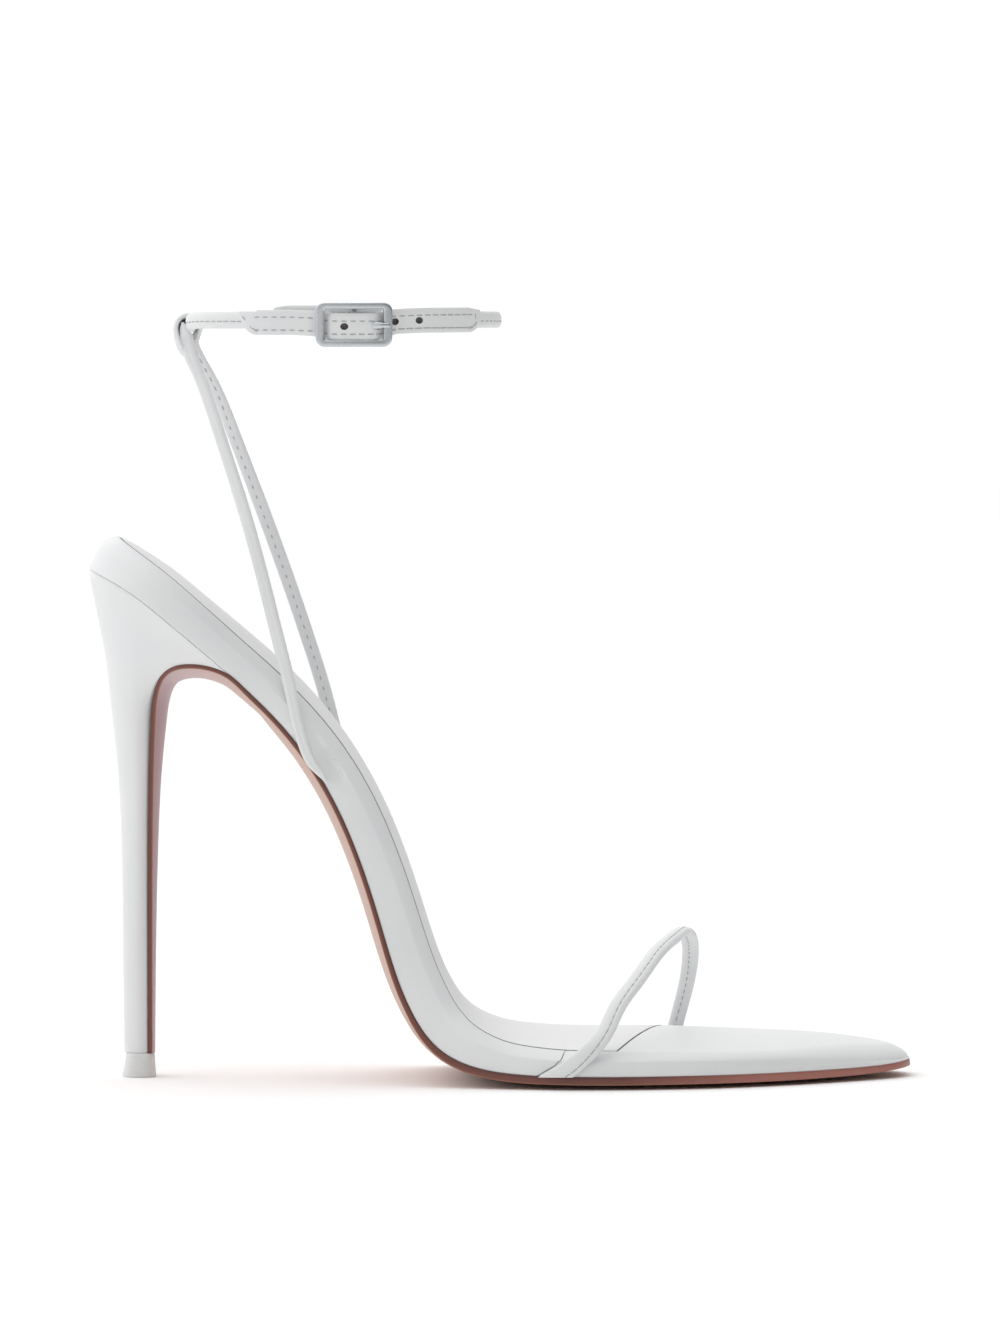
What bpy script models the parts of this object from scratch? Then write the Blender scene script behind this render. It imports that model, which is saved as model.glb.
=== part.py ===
# Ankle strap high heel, right shoe: a stiletto sandal of smooth leather.
# Tables are in millimetres and the scene is in metres.
# +X points to the toe, +Y to the inner side of the foot, +Z up.

import math
from collections import namedtuple

import bmesh
import bpy
import numpy as np

MM = 0.001

# Driving sizes
GAP = 0.3                  # between two pieces that meet
SOLE_EDGE_PROUD = 0.3      # the outsole's edge stands out of the footbed's wall by this
SOCK_THICK = 1.0
SOCK_INSET = 0.9           # from the end of the footbed's rounded shoulder to the sock's edge
WALL_LEAN = 0.3            # the footbed's wall leans inwards by this at its top
TOE_CENTRE_FROM_TIP = 34.0  # where the middle line of the sole stops short of the toe tip
HEEL_CENTRE_FROM_BACK = 22.0
HEEL_LIP_ALONG = 38.0      # how far the heel's top reaches under the footbed, from the back
HEEL_INSET = 0.4           # the heel's top edge stands back from the footbed's wall
JOIN_ALONG = 41.0          # from here to the toe the outsole lies on the footbed
SOLE_COLUMN_BLUR = 12.0    # length over which the columns of a table are blended
RECESS_OPEN = 2.0          # the cutter of the sock's recess stands above the footbed by this
RECESS_SPARE = 0.2         # the recess is deeper than its gap by this, for the facets of the domed sock

# The footbed along its lower edge, from the back of the heel to the toe tip.
# thick: to the edge of the sock, wall: upright part of the side, shoulder: run of its rounded top,
# crown: rise of the top towards the middle, belly: how far the underside bulges, sole: outsole thickness.
FootbedRow = namedtuple("FootbedRow", "x z thick wall shoulder crown belly sole")
FOOTBED = [
    FootbedRow(-95.1, 117.9, 9.9, 6.6, 2.6, 0.6, 0.0, 1.0),
    FootbedRow(-86.6, 113.8, 8.4, 5.6, 2.6, 1.0, 0.0, 1.0),
    FootbedRow(-76.0, 106.0, 8.1, 5.6, 2.6, 1.0, 0.0, 1.0),
    FootbedRow(-64.2, 96.0, 7.5, 5.4, 2.5, 2.1, 0.0, 1.0),
    FootbedRow(-51.4, 83.8, 7.5, 5.4, 2.4, 2.6, 2.2, 1.0),
    FootbedRow(-41.1, 70.3, 8.0, 5.6, 2.4, 1.9, 2.4, 1.0),
    FootbedRow(-34.2, 56.6, 8.4, 5.9, 2.4, 1.8, 2.4, 1.0),
    FootbedRow(-27.3, 36.7, 8.8, 6.3, 2.4, 1.5, 2.2, 1.1),
    FootbedRow(-20.4, 17.5, 9.5, 6.9, 2.5, 1.0, 1.9, 1.3),
    FootbedRow(-13.6, 8.6, 9.4, 6.8, 2.7, 1.3, 1.7, 1.6),
    FootbedRow(-6.8, 5.2, 8.3, 5.9, 3.0, 2.0, 1.5, 1.8),
    FootbedRow(2.0, 3.6, 6.5, 4.6, 3.2, 3.0, 1.3, 1.85),
    FootbedRow(14.0, 3.05, 5.7, 4.1, 3.2, 3.3, 1.2, 1.85),
    FootbedRow(40.0, 3.0, 5.4, 3.9, 3.2, 3.3, 1.15, 1.85),
    FootbedRow(50.0, 3.0, 5.1, 3.7, 3.2, 3.2, 1.15, 1.85),
    FootbedRow(68.0, 3.0, 4.7, 3.4, 3.4, 3.0, 1.1, 1.8),
    FootbedRow(80.0, 3.05, 4.3, 3.0, 3.6, 2.6, 0.9, 1.7),
    FootbedRow(89.0, 3.3, 3.5, 2.4, 3.6, 1.7, 0.6, 1.55),
    FootbedRow(95.2, 3.8, 2.4, 1.3, 3.0, 0.5, 0.2, 1.4),
]

# The outline of the footbed, by the length along its lower edge.
OutlineRow = namedtuple("OutlineRow", "along lateral medial")
OUTLINE = [
    OutlineRow(0.0, 0.0, 0.0),
    OutlineRow(2.0, -9.6, 9.6),
    OutlineRow(7.0, -16.9, 16.9),
    OutlineRow(14.0, -21.8, 21.8),
    OutlineRow(24.0, -24.0, 24.0),
    OutlineRow(38.0, -23.2, 22.6),
    OutlineRow(55.0, -21.6, 19.8),
    OutlineRow(79.0, -21.0, 18.2),
    OutlineRow(98.0, -22.5, 19.2),
    OutlineRow(119.0, -26.2, 22.6),
    OutlineRow(136.0, -30.5, 26.8),
    OutlineRow(155.0, -36.2, 31.8),
    OutlineRow(173.0, -39.2, 36.2),
    OutlineRow(190.0, -38.0, 38.2),
    OutlineRow(205.0, -34.0, 36.6),
    OutlineRow(220.0, -26.6, 31.4),
    OutlineRow(233.0, -17.6, 24.4),
    OutlineRow(242.0, -10.2, 18.2),
    OutlineRow(247.5, -4.2, 12.6),
    OutlineRow(250.0, 4.0, 4.0),
]

# The front edge of the sock, as along = FRONT_MIDDLE + FRONT_SLANT * y - FRONT_BOW * y * y.
FRONT_MIDDLE, FRONT_SLANT, FRONT_BOW = 190.2, 0.2, 0.0013
SOCK_FRONT_HALF, SOCK_LAST_STEP = 33.0, 3.0

# The heel from its tip to its seat. front: the edge of its breast, back: its back line,
# half: half width at the breast, belly: bulge of the breast, square: how square the back is.
HeelRow = namedtuple("HeelRow", "front_x front_z back_x back_z half belly square")
HEEL = [
    HeelRow(-81.6, 5.65, -87.2, 5.65, 4.2, 0.6, 2.2),
    HeelRow(-81.6, 30.0, -87.45, 30.0, 4.6, 0.8, 2.2),
    HeelRow(-81.5, 56.0, -87.85, 57.0, 5.6, 1.2, 2.2),
    HeelRow(-81.2, 72.0, -88.9, 75.0, 7.0, 1.5, 2.2),
    HeelRow(-80.7, 83.0, -90.2, 87.0, 9.2, 1.8, 2.3),
    HeelRow(-79.6, 90.4, -91.1, 95.5, 12.2, 2.0, 2.4),
    HeelRow(-77.7, 94.0, -92.1, 101.5, 15.0, 2.2, 2.6),
    HeelRow(-75.0, 95.8, -93.1, 106.5, 17.4, 2.3, 2.8),
    HeelRow(-71.5, 96.4, -94.0, 111.0, 19.6, 2.2, 3.0),
    HeelRow(-68.0, 96.2, -94.8, 115.2, 21.4, 2.1, 3.2),
]
FLAP_THICK = 1.0

# The top piece under the heel, from its top to the floor.
TopPieceRow = namedtuple("TopPieceRow", "z back front half")
TOP_PIECE = [
    TopPieceRow(5.35, -86.75, -80.15, 4.4),
    TopPieceRow(4.2, -86.85, -80.05, 4.5),
    TopPieceRow(0.5, -87.6, -79.8, 5.0),
    TopPieceRow(0.0, -87.35, -80.05, 4.75),
]
TOP_PIECE_SQUARE = 2.6

# Straps that run free: points of the middle line, the way the outer face looks, width and thickness.
StrapRow = namedtuple("StrapRow", "x y z face_x face_y face_z width thick")
TOE_STRAP = [
    StrapRow(14.6, -39.9, 4.6, 0.0, -1.0, 0.0, 4.4, 1.1),
    StrapRow(18.0, -40.1, 7.4, 0.0, -1.0, 0.1, 4.2, 1.5),
    StrapRow(21.8, -39.0, 11.4, -0.1, -0.9, 0.3, 4.0, 2.2),
    StrapRow(26.4, -34.6, 18.0, -0.2, -0.8, 0.5, 4.0, 2.4),
    StrapRow(31.0, -28.6, 24.0, -0.2, -0.65, 0.7, 4.0, 2.4),
    StrapRow(35.6, -20.4, 29.6, -0.1, -0.45, 0.9, 4.0, 2.4),
    StrapRow(39.8, -8.0, 32.5, 0.0, -0.15, 1.0, 4.0, 2.4),
    StrapRow(42.8, 8.0, 33.0, 0.0, 0.15, 1.0, 4.0, 2.4),
    StrapRow(44.4, 20.0, 30.2, 0.1, 0.55, 0.85, 4.0, 2.4),
    StrapRow(44.7, 29.0, 24.6, 0.1, 0.85, 0.5, 4.0, 2.4),
    StrapRow(43.7, 35.0, 17.6, 0.0, 0.97, 0.2, 4.0, 2.4),
    StrapRow(42.1, 38.8, 11.0, 0.0, 1.0, 0.1, 3.6, 2.0),
    StrapRow(41.2, 39.4, 7.2, 0.0, 1.0, 0.0, 3.6, 1.5),
    StrapRow(40.5, 39.2, 4.6, 0.0, 1.0, 0.0, 3.8, 1.1),
]
BACK_STRAP = [
    StrapRow(-41.5, -21.9, 73.6, 0.0, -1.0, 0.0, 5.2, 1.1),
    StrapRow(-44.2, -22.3, 81.6, 0.0, -1.0, 0.0, 4.4, 1.5),
    StrapRow(-47.5, -22.4, 91.5, 0.0, -1.0, 0.0, 3.5, 1.9),
    StrapRow(-50.2, -21.4, 100.0, -0.1, -1.0, 0.0, 3.0, 2.0),
    StrapRow(-54.5, -18.4, 116.4, -0.1, -1.0, 0.0, 3.0, 2.0),
    StrapRow(-59.3, -14.0, 133.0, -0.2, -1.0, 0.0, 3.0, 2.0),
    StrapRow(-64.7, -8.7, 149.2, -0.4, -0.9, 0.0, 3.0, 2.0),
    StrapRow(-68.3, -4.9, 158.4, -0.7, -0.7, 0.0, 3.0, 1.8),
    StrapRow(-71.9, -2.3, 166.2, -0.9, -0.4, 0.0, 3.0, 1.5),
    StrapRow(-74.6, -1.3, 170.6, -1.0, -0.1, 0.0, 3.0, 1.1),
    StrapRow(-75.7, -0.8, 174.2, -1.0, 0.0, 0.1, 3.0, 1.1),
    StrapRow(-73.2, 0.0, 177.6, 0.0, 0.0, 1.0, 3.0, 1.1),
    StrapRow(-70.7, 0.8, 174.2, 1.0, 0.0, 0.1, 3.0, 1.1),
    StrapRow(-70.5, 1.3, 170.4, 1.0, 0.1, 0.0, 3.0, 1.1),
    StrapRow(-69.3, 2.3, 166.2, 0.9, 0.4, 0.0, 3.0, 1.5),
    StrapRow(-66.2, 4.9, 158.0, 0.6, 0.8, 0.0, 3.0, 1.8),
    StrapRow(-62.3, 8.4, 149.2, 0.3, 0.95, 0.0, 3.1, 2.0),
    StrapRow(-55.8, 13.0, 132.4, 0.2, 1.0, 0.0, 3.3, 2.0),
    StrapRow(-49.8, 16.8, 115.6, 0.1, 1.0, 0.0, 3.3, 2.0),
    StrapRow(-44.2, 19.6, 98.8, 0.0, 1.0, 0.0, 3.3, 2.0),
    StrapRow(-41.6, 19.9, 90.4, 0.0, 1.0, 0.0, 3.3, 1.9),
    StrapRow(-38.9, 19.6, 80.0, 0.0, 1.0, 0.0, 3.4, 1.5),
    StrapRow(-36.7, 19.2, 70.6, 0.0, 1.0, 0.0, 3.6, 1.1),
]

# The ankle strap's loop, seen from above, and its height.
LOOP_CENTRE_X, LOOP_HALF_LENGTH, LOOP_HALF_WIDTH = -37.0, 36.2, 29.5
LOOP_Z = 175.5
BUCKLE_X = -33.5           # middle of the buckle on the outer side

# Stations of the ankle strap by length from the buckle, first backwards around the ankle and
# then over itself. turn: whole turns to add, out: distance of the layer from the loop.
AnkleRow = namedtuple("AnkleRow", "turn along out lift width thick")
ROLLED_WIDTH, ROLLED_THICK = 3.9, 2.4
TAB_WIDTH, TAB_THICK = 5.8, 1.3
ANKLE_STRAP = [
    AnkleRow(0, 5.8, 0.0, 0.0, TAB_WIDTH, TAB_THICK),
    AnkleRow(0, -16.0, 0.0, 0.0, TAB_WIDTH, TAB_THICK),
    AnkleRow(0, -18.2, 0.0, -0.2, ROLLED_WIDTH, ROLLED_THICK),
    AnkleRow(0, -38.0, 0.0, -0.2, ROLLED_WIDTH, ROLLED_THICK),
    AnkleRow(0, -56.0, 0.0, -1.1, ROLLED_WIDTH, ROLLED_THICK),
    AnkleRow(0, -74.0, 0.0, -0.2, ROLLED_WIDTH, ROLLED_THICK),
    AnkleRow(-1, 34.0, 0.0, -0.1, ROLLED_WIDTH, ROLLED_THICK),
    AnkleRow(-1, 31.5, 0.2, -0.2, TAB_WIDTH, TAB_THICK),
    AnkleRow(-1, 16.0, 1.4, -0.3, TAB_WIDTH, TAB_THICK),
    AnkleRow(-1, 8.8, 1.6, -0.9, TAB_WIDTH, TAB_THICK),
    AnkleRow(-1, 5.5, 1.75, -1.3, TAB_WIDTH, TAB_THICK),
    AnkleRow(-1, 2.7, 2.6, -1.6, TAB_WIDTH, TAB_THICK),
    AnkleRow(-1, 0.0, 3.1, -1.6, TAB_WIDTH, TAB_THICK),
    AnkleRow(-1, -2.7, 2.6, -1.6, TAB_WIDTH, TAB_THICK),
    AnkleRow(-1, -5.5, 1.75, -1.3, TAB_WIDTH, TAB_THICK),
    AnkleRow(-1, -8.8, 1.7, -1.0, TAB_WIDTH, TAB_THICK),
    AnkleRow(-1, -14.0, 1.8, -0.8, TAB_WIDTH, TAB_THICK),
    AnkleRow(-1, -18.5, 2.3, -0.8, TAB_WIDTH, TAB_THICK),
    AnkleRow(-1, -23.4, 2.3, -0.8, TAB_WIDTH, TAB_THICK),
    AnkleRow(-1, -25.6, 2.3, 0.6, 2.4, TAB_THICK),
]
ANKLE_STEP = 3.0

# The buckle, by length along the loop, height above the loop and distance out of it.
FRAME_LENGTH, FRAME_HEIGHT, FRAME_CORNER = 15.4, 10.2, 2.0
FRAME_BAR, FRAME_BEVEL, LEAST_CORNER = 1.55, 0.4, 0.4
FRAME_OUT_LOW, FRAME_OUT_HIGH = 2.7, 4.3
FRAME_LIFT = -1.3
BAR_HALF, BAR_OUT_LOW, BAR_OUT_HIGH = 0.6, 1.0, 2.1
POST_LENGTH = 1.2
PRONG_START, PRONG_END, PRONG_LIFT = 4.2, 7.5, -1.5
PRONG_WIDTH, PRONG_THICK = 1.3, 1.0
PRONG_OUT_START, PRONG_OUT_END = 3.6, 5.0
PRONG_STEEP, PRONG_TAPER = 1.6, 0.25   # how soon it has risen, and how much thinner its end is

# How the outsole changes from the breast of the heel to the footbed
UNDER_STEP, UNDER_LAST_STEP = 6.0, 3.0
BELLY_EASE_BEFORE, BELLY_EASE_AFTER = 4.0, 12.0
MIDDLE_EASE = 30.0

# How finely the faceted solids are cut
ROUND_STATIONS, BODY_STATIONS = 6, 36
FLAP_STATIONS, FLAP_CROWDING = 18, 1.8  # crowding puts more stations in the bend at the breast's top
ACROSS_SHARES = (1.0, 0.66, 0.33, 0.0)  # rings of an underside, from the middle line to the edge
TOP_SHARES = (0.2, 0.5, 1.0)
SHOULDER_ANGLES = (30, 60, 90)
STRAP_STEP, STRAP_LEAST_PIECES = 6.0, 2
STRAP_SIDES, STRAP_ROUND = 8, 0.6       # round: 1 is an oval, 0 a rectangle
PRONG_STATIONS = 7
HEEL_SIDE_STEPS, HEEL_FRONT_STEPS = 8, 4
SOCK_FRONT_STEPS = 5       # of each half of the sock's front edge
TOP_PIECE_SIDES = 24
CORNER_STEPS = 4
FINE_STEPS = 3000          # of a curve before it is cut into stations
WELD, SPECK = 0.002, 0.001  # points this close are one point, edges this short go
SMOOTH_ANGLE = math.radians(40)
TINY = 1e-6

# Colours of the photographed materials: red, green, blue, roughness, metallic.
Look = namedtuple("Look", "red green blue roughness metallic")
WHITE_LEATHER = Look(0.78, 0.79, 0.79, 0.45, 0.0)
WHITE_LINING = Look(0.80, 0.81, 0.81, 0.55, 0.0)
SOLE_LEATHER = Look(0.36, 0.17, 0.14, 0.5, 0.0)
TOP_PIECE_RUBBER = Look(0.70, 0.70, 0.69, 0.55, 0.0)
SATIN_METAL = Look(0.62, 0.64, 0.65, 0.35, 1.0)


def natural_cubic(knots, values, at):
    """The smoothest curve through the values at the knots."""
    step = np.diff(knots)
    count = len(knots)
    system = np.eye(count)
    right = np.zeros(count)
    for i in range(1, count - 1):
        system[i, i - 1 : i + 2] = step[i - 1], 2 * (step[i - 1] + step[i]), step[i]
        slope_after = (values[i + 1] - values[i]) / step[i]
        slope_before = (values[i] - values[i - 1]) / step[i - 1]
        right[i] = 6 * (slope_after - slope_before)
    bend = np.linalg.solve(system, right)
    i = np.clip(np.searchsorted(knots, at) - 1, 0, count - 2)
    before, after = at - knots[i], knots[i + 1] - at
    cubic = (bend[i] * after**3 + bend[i + 1] * before**3) / (6 * step[i])
    from_left = (values[i] / step[i] - bend[i] * step[i] / 6) * after
    from_right = (values[i + 1] / step[i] - bend[i + 1] * step[i] / 6) * before
    return cubic + from_left + from_right


class Path:
    """A smooth curve through points, by its length."""

    def __init__(self, points):
        points = np.array(points, float)
        chords = np.linalg.norm(np.diff(points, axis=0), axis=1)
        chord_knots = np.concatenate([[0.0], np.cumsum(chords)])
        at = np.linspace(0.0, chord_knots[-1], FINE_STEPS)
        columns = [natural_cubic(chord_knots, column, at) for column in points.T]
        self.points = np.stack(columns, axis=1)
        steps = np.linalg.norm(np.diff(self.points, axis=0), axis=1)
        self.run = np.concatenate([[0.0], np.cumsum(steps)])
        self.length = self.run[-1]
        self.knots = np.interp(chord_knots, at, self.run)
        self.slopes = np.gradient(self.points, self.run, axis=0)

    def at(self, along):
        return np.array([np.interp(along, self.run, column) for column in self.points.T])

    def direction(self, along):
        slope = np.array([np.interp(along, self.run, column) for column in self.slopes.T])
        return slope / np.linalg.norm(slope)


class Columns:
    """The columns of a table, blended along a length."""

    def __init__(self, knots, rows, names, blur):
        self.grid = np.linspace(0.0, knots[-1], FINE_STEPS)
        window = np.hanning(max(3, int(blur / self.grid[1])))
        window /= window.sum()
        edge = len(window)
        self.values = {}
        for name in names:
            column = np.interp(self.grid, knots, [getattr(row, name) for row in rows])
            padded = np.pad(column, edge, mode="edge")
            self.values[name] = np.convolve(padded, window, mode="same")[edge:-edge]

    def at(self, name, along):
        return float(np.interp(along, self.grid, self.values[name]))


SPINE = Path([(row.x, row.z) for row in FOOTBED])
SOLE = Columns(SPINE.knots, FOOTBED, FootbedRow._fields[2:], SOLE_COLUMN_BLUR)


def outline_sides():
    """The footbed's outline as two dense tables of (along, y), outer and inner side."""
    stretch = SPINE.length / OUTLINE[-1].along
    ring = [(row.along * stretch, row.lateral) for row in OUTLINE]
    ring += [(row.along * stretch, row.medial) for row in reversed(OUTLINE[:-1])]
    curve = Path(ring).points
    tip = int(np.argmax(curve[:, 0]))
    return curve[: tip + 1], curve[tip:][::-1]


LATERAL_SIDE, MEDIAL_SIDE = outline_sides()


def side_y(side, along):
    table = LATERAL_SIDE if side < 0 else MEDIAL_SIDE
    return float(np.interp(along, np.maximum.accumulate(table[:, 0]), table[:, 1]))


def middle_y(along):
    return (side_y(-1, along) + side_y(1, along)) / 2


def on_path(path, along, y, height):
    """The point at a length along a path, across it and above it."""
    x, z = path.at(along)
    slope_x, slope_z = path.direction(along)
    return np.array([x - slope_z * height, y, z + slope_x * height])


def new_object(name, verts, faces, look):
    """A closed mesh in metres with its own material. Doubled points are merged."""
    mesh = bpy.data.meshes.new(name)
    build = bmesh.new()
    points = [build.verts.new(np.asarray(vert) * MM) for vert in verts]
    for face in faces:
        build.faces.new([points[i] for i in face])
    bmesh.ops.remove_doubles(build, verts=build.verts, dist=WELD * MM)
    bmesh.ops.dissolve_degenerate(build, edges=build.edges, dist=SPECK * MM)
    bmesh.ops.recalc_face_normals(build, faces=build.faces)
    build.to_mesh(mesh)
    build.free()
    mesh.shade_smooth()
    mesh.set_sharp_from_angle(angle=SMOOTH_ANGLE)
    obj = bpy.data.objects.new(name, mesh)
    bpy.context.scene.collection.objects.link(obj)
    material = bpy.data.materials.new(name + "_finish")
    material.use_nodes = True
    shader = material.node_tree.nodes["Principled BSDF"]
    shader.inputs["Base Color"].default_value = (look.red, look.green, look.blue, 1.0)
    shader.inputs["Roughness"].default_value = look.roughness
    shader.inputs["Metallic"].default_value = look.metallic
    mesh.materials.append(material)
    return obj


def add_boolean(obj, helper, operation):
    """Joins a hidden helper to an object, or cuts it out of the object."""
    helper.hide_render = True
    helper.display_type = "WIRE"
    modifier = obj.modifiers.new(helper.name, "BOOLEAN")
    modifier.operation = operation
    modifier.object = helper


def loft(rings, close_start=True, close_end=True):
    """Points and faces of a skin over rings of equal count."""
    count = len(rings[0])
    verts = [point for ring in rings for point in ring]
    faces = []
    for r in range(len(rings) - 1):
        for j in range(count):
            k = (j + 1) % count
            low, high = r * count, (r + 1) * count
            faces.append((low + j, low + k, high + k, high + j))
    if close_start:
        faces.append(tuple(reversed(range(count))))
    if close_end:
        faces.append(tuple(range(len(verts) - count, len(verts))))
    return verts, faces


def sole_alongs():
    """Lengths along the sole, closer together at the round ends."""
    turns = np.linspace(0.0, math.pi / 2, ROUND_STATIONS + 1)
    heel = HEEL_CENTRE_FROM_BACK * (1 - np.cos(turns))
    toe = SPINE.length - TOE_CENTRE_FROM_TIP * (1 - np.cos(turns))[::-1]
    body = np.linspace(heel[-1], toe[0], BODY_STATIONS + 1)
    return np.concatenate([heel, body[1:-1], toe])


class Edge:
    """One point of an outline, with the point of the middle line that faces it."""

    def __init__(self, along, y, middle_along, middle):
        self.place = np.array([along, y])
        self.middle = np.array([middle_along, middle])
        self.reach = float(np.linalg.norm(self.middle - self.place))

    def inset(self, distance):
        if self.reach < TINY:
            return self.middle
        share = min(1.0, distance / self.reach)
        return self.place + (self.middle - self.place) * share

    def share(self, distance):
        return 1.0 if self.reach < TINY else min(1.0, distance / self.reach)


def footbed_edge(side, along):
    """A point of the footbed's outline. Round the ends, points face the end of the middle line."""
    low, high = HEEL_CENTRE_FROM_BACK, SPINE.length - TOE_CENTRE_FROM_TIP
    middle = min(max(along, low), high)
    return Edge(along, side_y(side, along), middle, middle_y(middle))


def footbed_edges():
    alongs = sole_alongs()
    lateral = [footbed_edge(-1, along) for along in alongs]
    medial = [footbed_edge(1, along) for along in alongs[-2:0:-1]]
    return lateral + medial


def bulge(share):
    """From 0 at the edge to 1 in the middle, as a parabola."""
    return 1 - (1 - share) ** 2


def shoulder_end(along):
    """Distance from the footbed's outline to the end of its rounded shoulder."""
    return WALL_LEAN + SOLE.at("shoulder", along)


def top_height(along, y):
    """The height of the domed top at a point of the sole."""
    start = shoulder_end(along)

    def part(distance, reach):
        return bulge(min(1.0, max(0.0, (distance - start) / max(TINY, reach - start))))

    edge, middle = side_y(-1 if y < middle_y(along) else 1, along), middle_y(along)
    lengthwise = part(along, HEEL_CENTRE_FROM_BACK) * part(SPINE.length - along, TOE_CENTRE_FROM_TIP)
    dome = part(abs(edge - y), abs(edge - middle)) * lengthwise
    return SOLE.at("thick", along) + SOLE.at("crown", along) * dome


def footbed_ring(edges, distance_of, height_of):
    """A ring at distances inwards from the outline, at heights above the footbed's lower edge."""
    points = []
    for edge in edges:
        distance = distance_of(edge)
        along, y = edge.inset(distance)
        points.append(on_path(SPINE, along, y, height_of(along, y, edge.share(distance))))
    return points


def make_footbed():
    edges = footbed_edges()
    rings = []

    def add(distance_of, height_of):
        rings.append(footbed_ring(edges, distance_of, height_of))

    for share in ACROSS_SHARES:
        add(
            lambda edge, share=share: edge.reach * share,
            lambda along, y, share: -SOLE.at("belly", along) * bulge(share),
        )
    add(lambda edge: WALL_LEAN, lambda along, y, share: SOLE.at("wall", along))
    for angle in np.radians(SHOULDER_ANGLES):

        def rounded_distance(edge, angle=angle):
            return WALL_LEAN + SOLE.at("shoulder", edge.place[0]) * (1 - math.cos(angle))

        def rounded_height(along, y, share, angle=angle):
            wall = SOLE.at("wall", along)
            return wall + (SOLE.at("thick", along) - wall) * math.sin(angle)

        add(rounded_distance, rounded_height)
    for top_share in TOP_SHARES:

        def top_distance(edge, top_share=top_share):
            start = shoulder_end(edge.place[0])
            return start + max(0.0, edge.reach - start) * top_share

        add(top_distance, lambda along, y, share: top_height(along, y))
    verts, faces = loft(rings, close_start=False, close_end=False)
    footbed = new_object("footbed", verts, faces, WHITE_LEATHER)
    cut_recess(footbed)
    return footbed


def sock_front(y):
    return FRONT_MIDDLE + FRONT_SLANT * y - FRONT_BOW * y * y


def sock_edges(grow):
    """The sock's outline, grown: the footbed's, inset, stretched to end at the slanting front edge."""
    front = FRONT_MIDDLE + grow
    alongs = [along for along in sole_alongs() if along < FRONT_MIDDLE - SOCK_LAST_STEP]
    inner = alongs[-1]
    alongs.append(front)

    def edge(side, along):
        reach = sock_front(side * SOCK_FRONT_HALF) / FRONT_MIDDLE
        slant = max(0.0, along - HEEL_CENTRE_FROM_BACK) / (FRONT_MIDDLE - HEEL_CENTRE_FROM_BACK)
        side_along = along * (1 + (reach - 1) * slant)
        outer = footbed_edge(side, side_along)
        middle = min(max(along, HEEL_CENTRE_FROM_BACK), inner)
        place = outer.inset(shoulder_end(side_along) + SOCK_INSET - grow)
        return Edge(place[0], place[1], middle, middle_y(middle))

    def front_row(corner, shares):
        centre = np.array([front, middle_y(front)])
        places = [np.array(corner.place) * (1 - share) + centre * share for share in shares]
        return [Edge(place[0], place[1], inner, middle_y(inner)) for place in places]

    lateral = [edge(-1, along) for along in alongs]
    medial = [edge(1, along) for along in alongs[:0:-1]]
    steps = np.linspace(0.0, 1.0, SOCK_FRONT_STEPS + 1)
    return lateral + front_row(lateral[-1], steps[1:]) + front_row(medial[0], steps[-2:0:-1]) + medial


def sock_solid(name, grow, bottom, top, look):
    """A sheet of the sock's outline, between two heights from the footbed's top."""
    edges = sock_edges(grow)
    rings = []
    for height, shares in ((bottom, ACROSS_SHARES), (top, ACROSS_SHARES[::-1])):
        for ring_share in shares:
            rings.append(
                footbed_ring(
                    edges,
                    lambda edge, ring_share=ring_share: edge.reach * ring_share,
                    lambda along, y, share, height=height: top_height(along, y) + height,
                )
            )
    verts, faces = loft(rings, close_start=False, close_end=False)
    return new_object(name, verts, faces, look)


def make_sock():
    return sock_solid("insole_sock", 0.0, -SOCK_THICK, 0.0, WHITE_LINING)


def cut_recess(footbed):
    """Sinks a recess for the sock into the footbed's top."""
    cutter = sock_solid("recess_cutter", GAP, -SOCK_THICK - GAP - RECESS_SPARE, RECESS_OPEN, WHITE_LEATHER)
    add_boolean(footbed, cutter, "DIFFERENCE")


def outsole_path():
    """The inner face of the outsole: up the breast of the heel, then along the footbed to the toe."""
    points = [(row.front_x, row.front_z) for row in HEEL]
    alongs = list(np.arange(JOIN_ALONG, SPINE.length - UNDER_LAST_STEP, UNDER_STEP)) + [SPINE.length]
    for along in alongs:
        x, _, z = on_path(SPINE, along, 0.0, -GAP)
        points.append((x, z))
    path = Path(points)
    return path, np.array(alongs), path.knots[len(HEEL) :]


UNDER, UNDER_ALONGS, UNDER_KNOTS = outsole_path()
FLAP_KNOTS = UNDER.knots[: len(HEEL)]


def flap_value(name, length):
    return float(np.interp(length, FLAP_KNOTS, [getattr(row, name) for row in HEEL]))


def under_value(name, length):
    """A column of the outsole: the heel's on the breast, the footbed's from the join on."""
    join = UNDER_KNOTS[0]
    if length >= join:
        return SOLE.at(name, np.interp(length, UNDER_KNOTS, UNDER_ALONGS))
    if name == "sole":
        return FLAP_THICK
    return flap_value(name, length)


def outsole_belly(length):
    """The bulge of the outsole, eased from the flap's to the footbed's."""
    ease_end = np.interp(JOIN_ALONG + BELLY_EASE_AFTER, UNDER_ALONGS, UNDER_KNOTS)
    lengths = [UNDER_KNOTS[0] - BELLY_EASE_BEFORE, ease_end]
    if length <= lengths[0]:
        return flap_value("belly", length)
    if length >= ease_end:
        return under_value("belly", length)
    values = [flap_value("belly", lengths[0]), under_value("belly", ease_end)]
    return float(np.interp(length, lengths, values))


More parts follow.
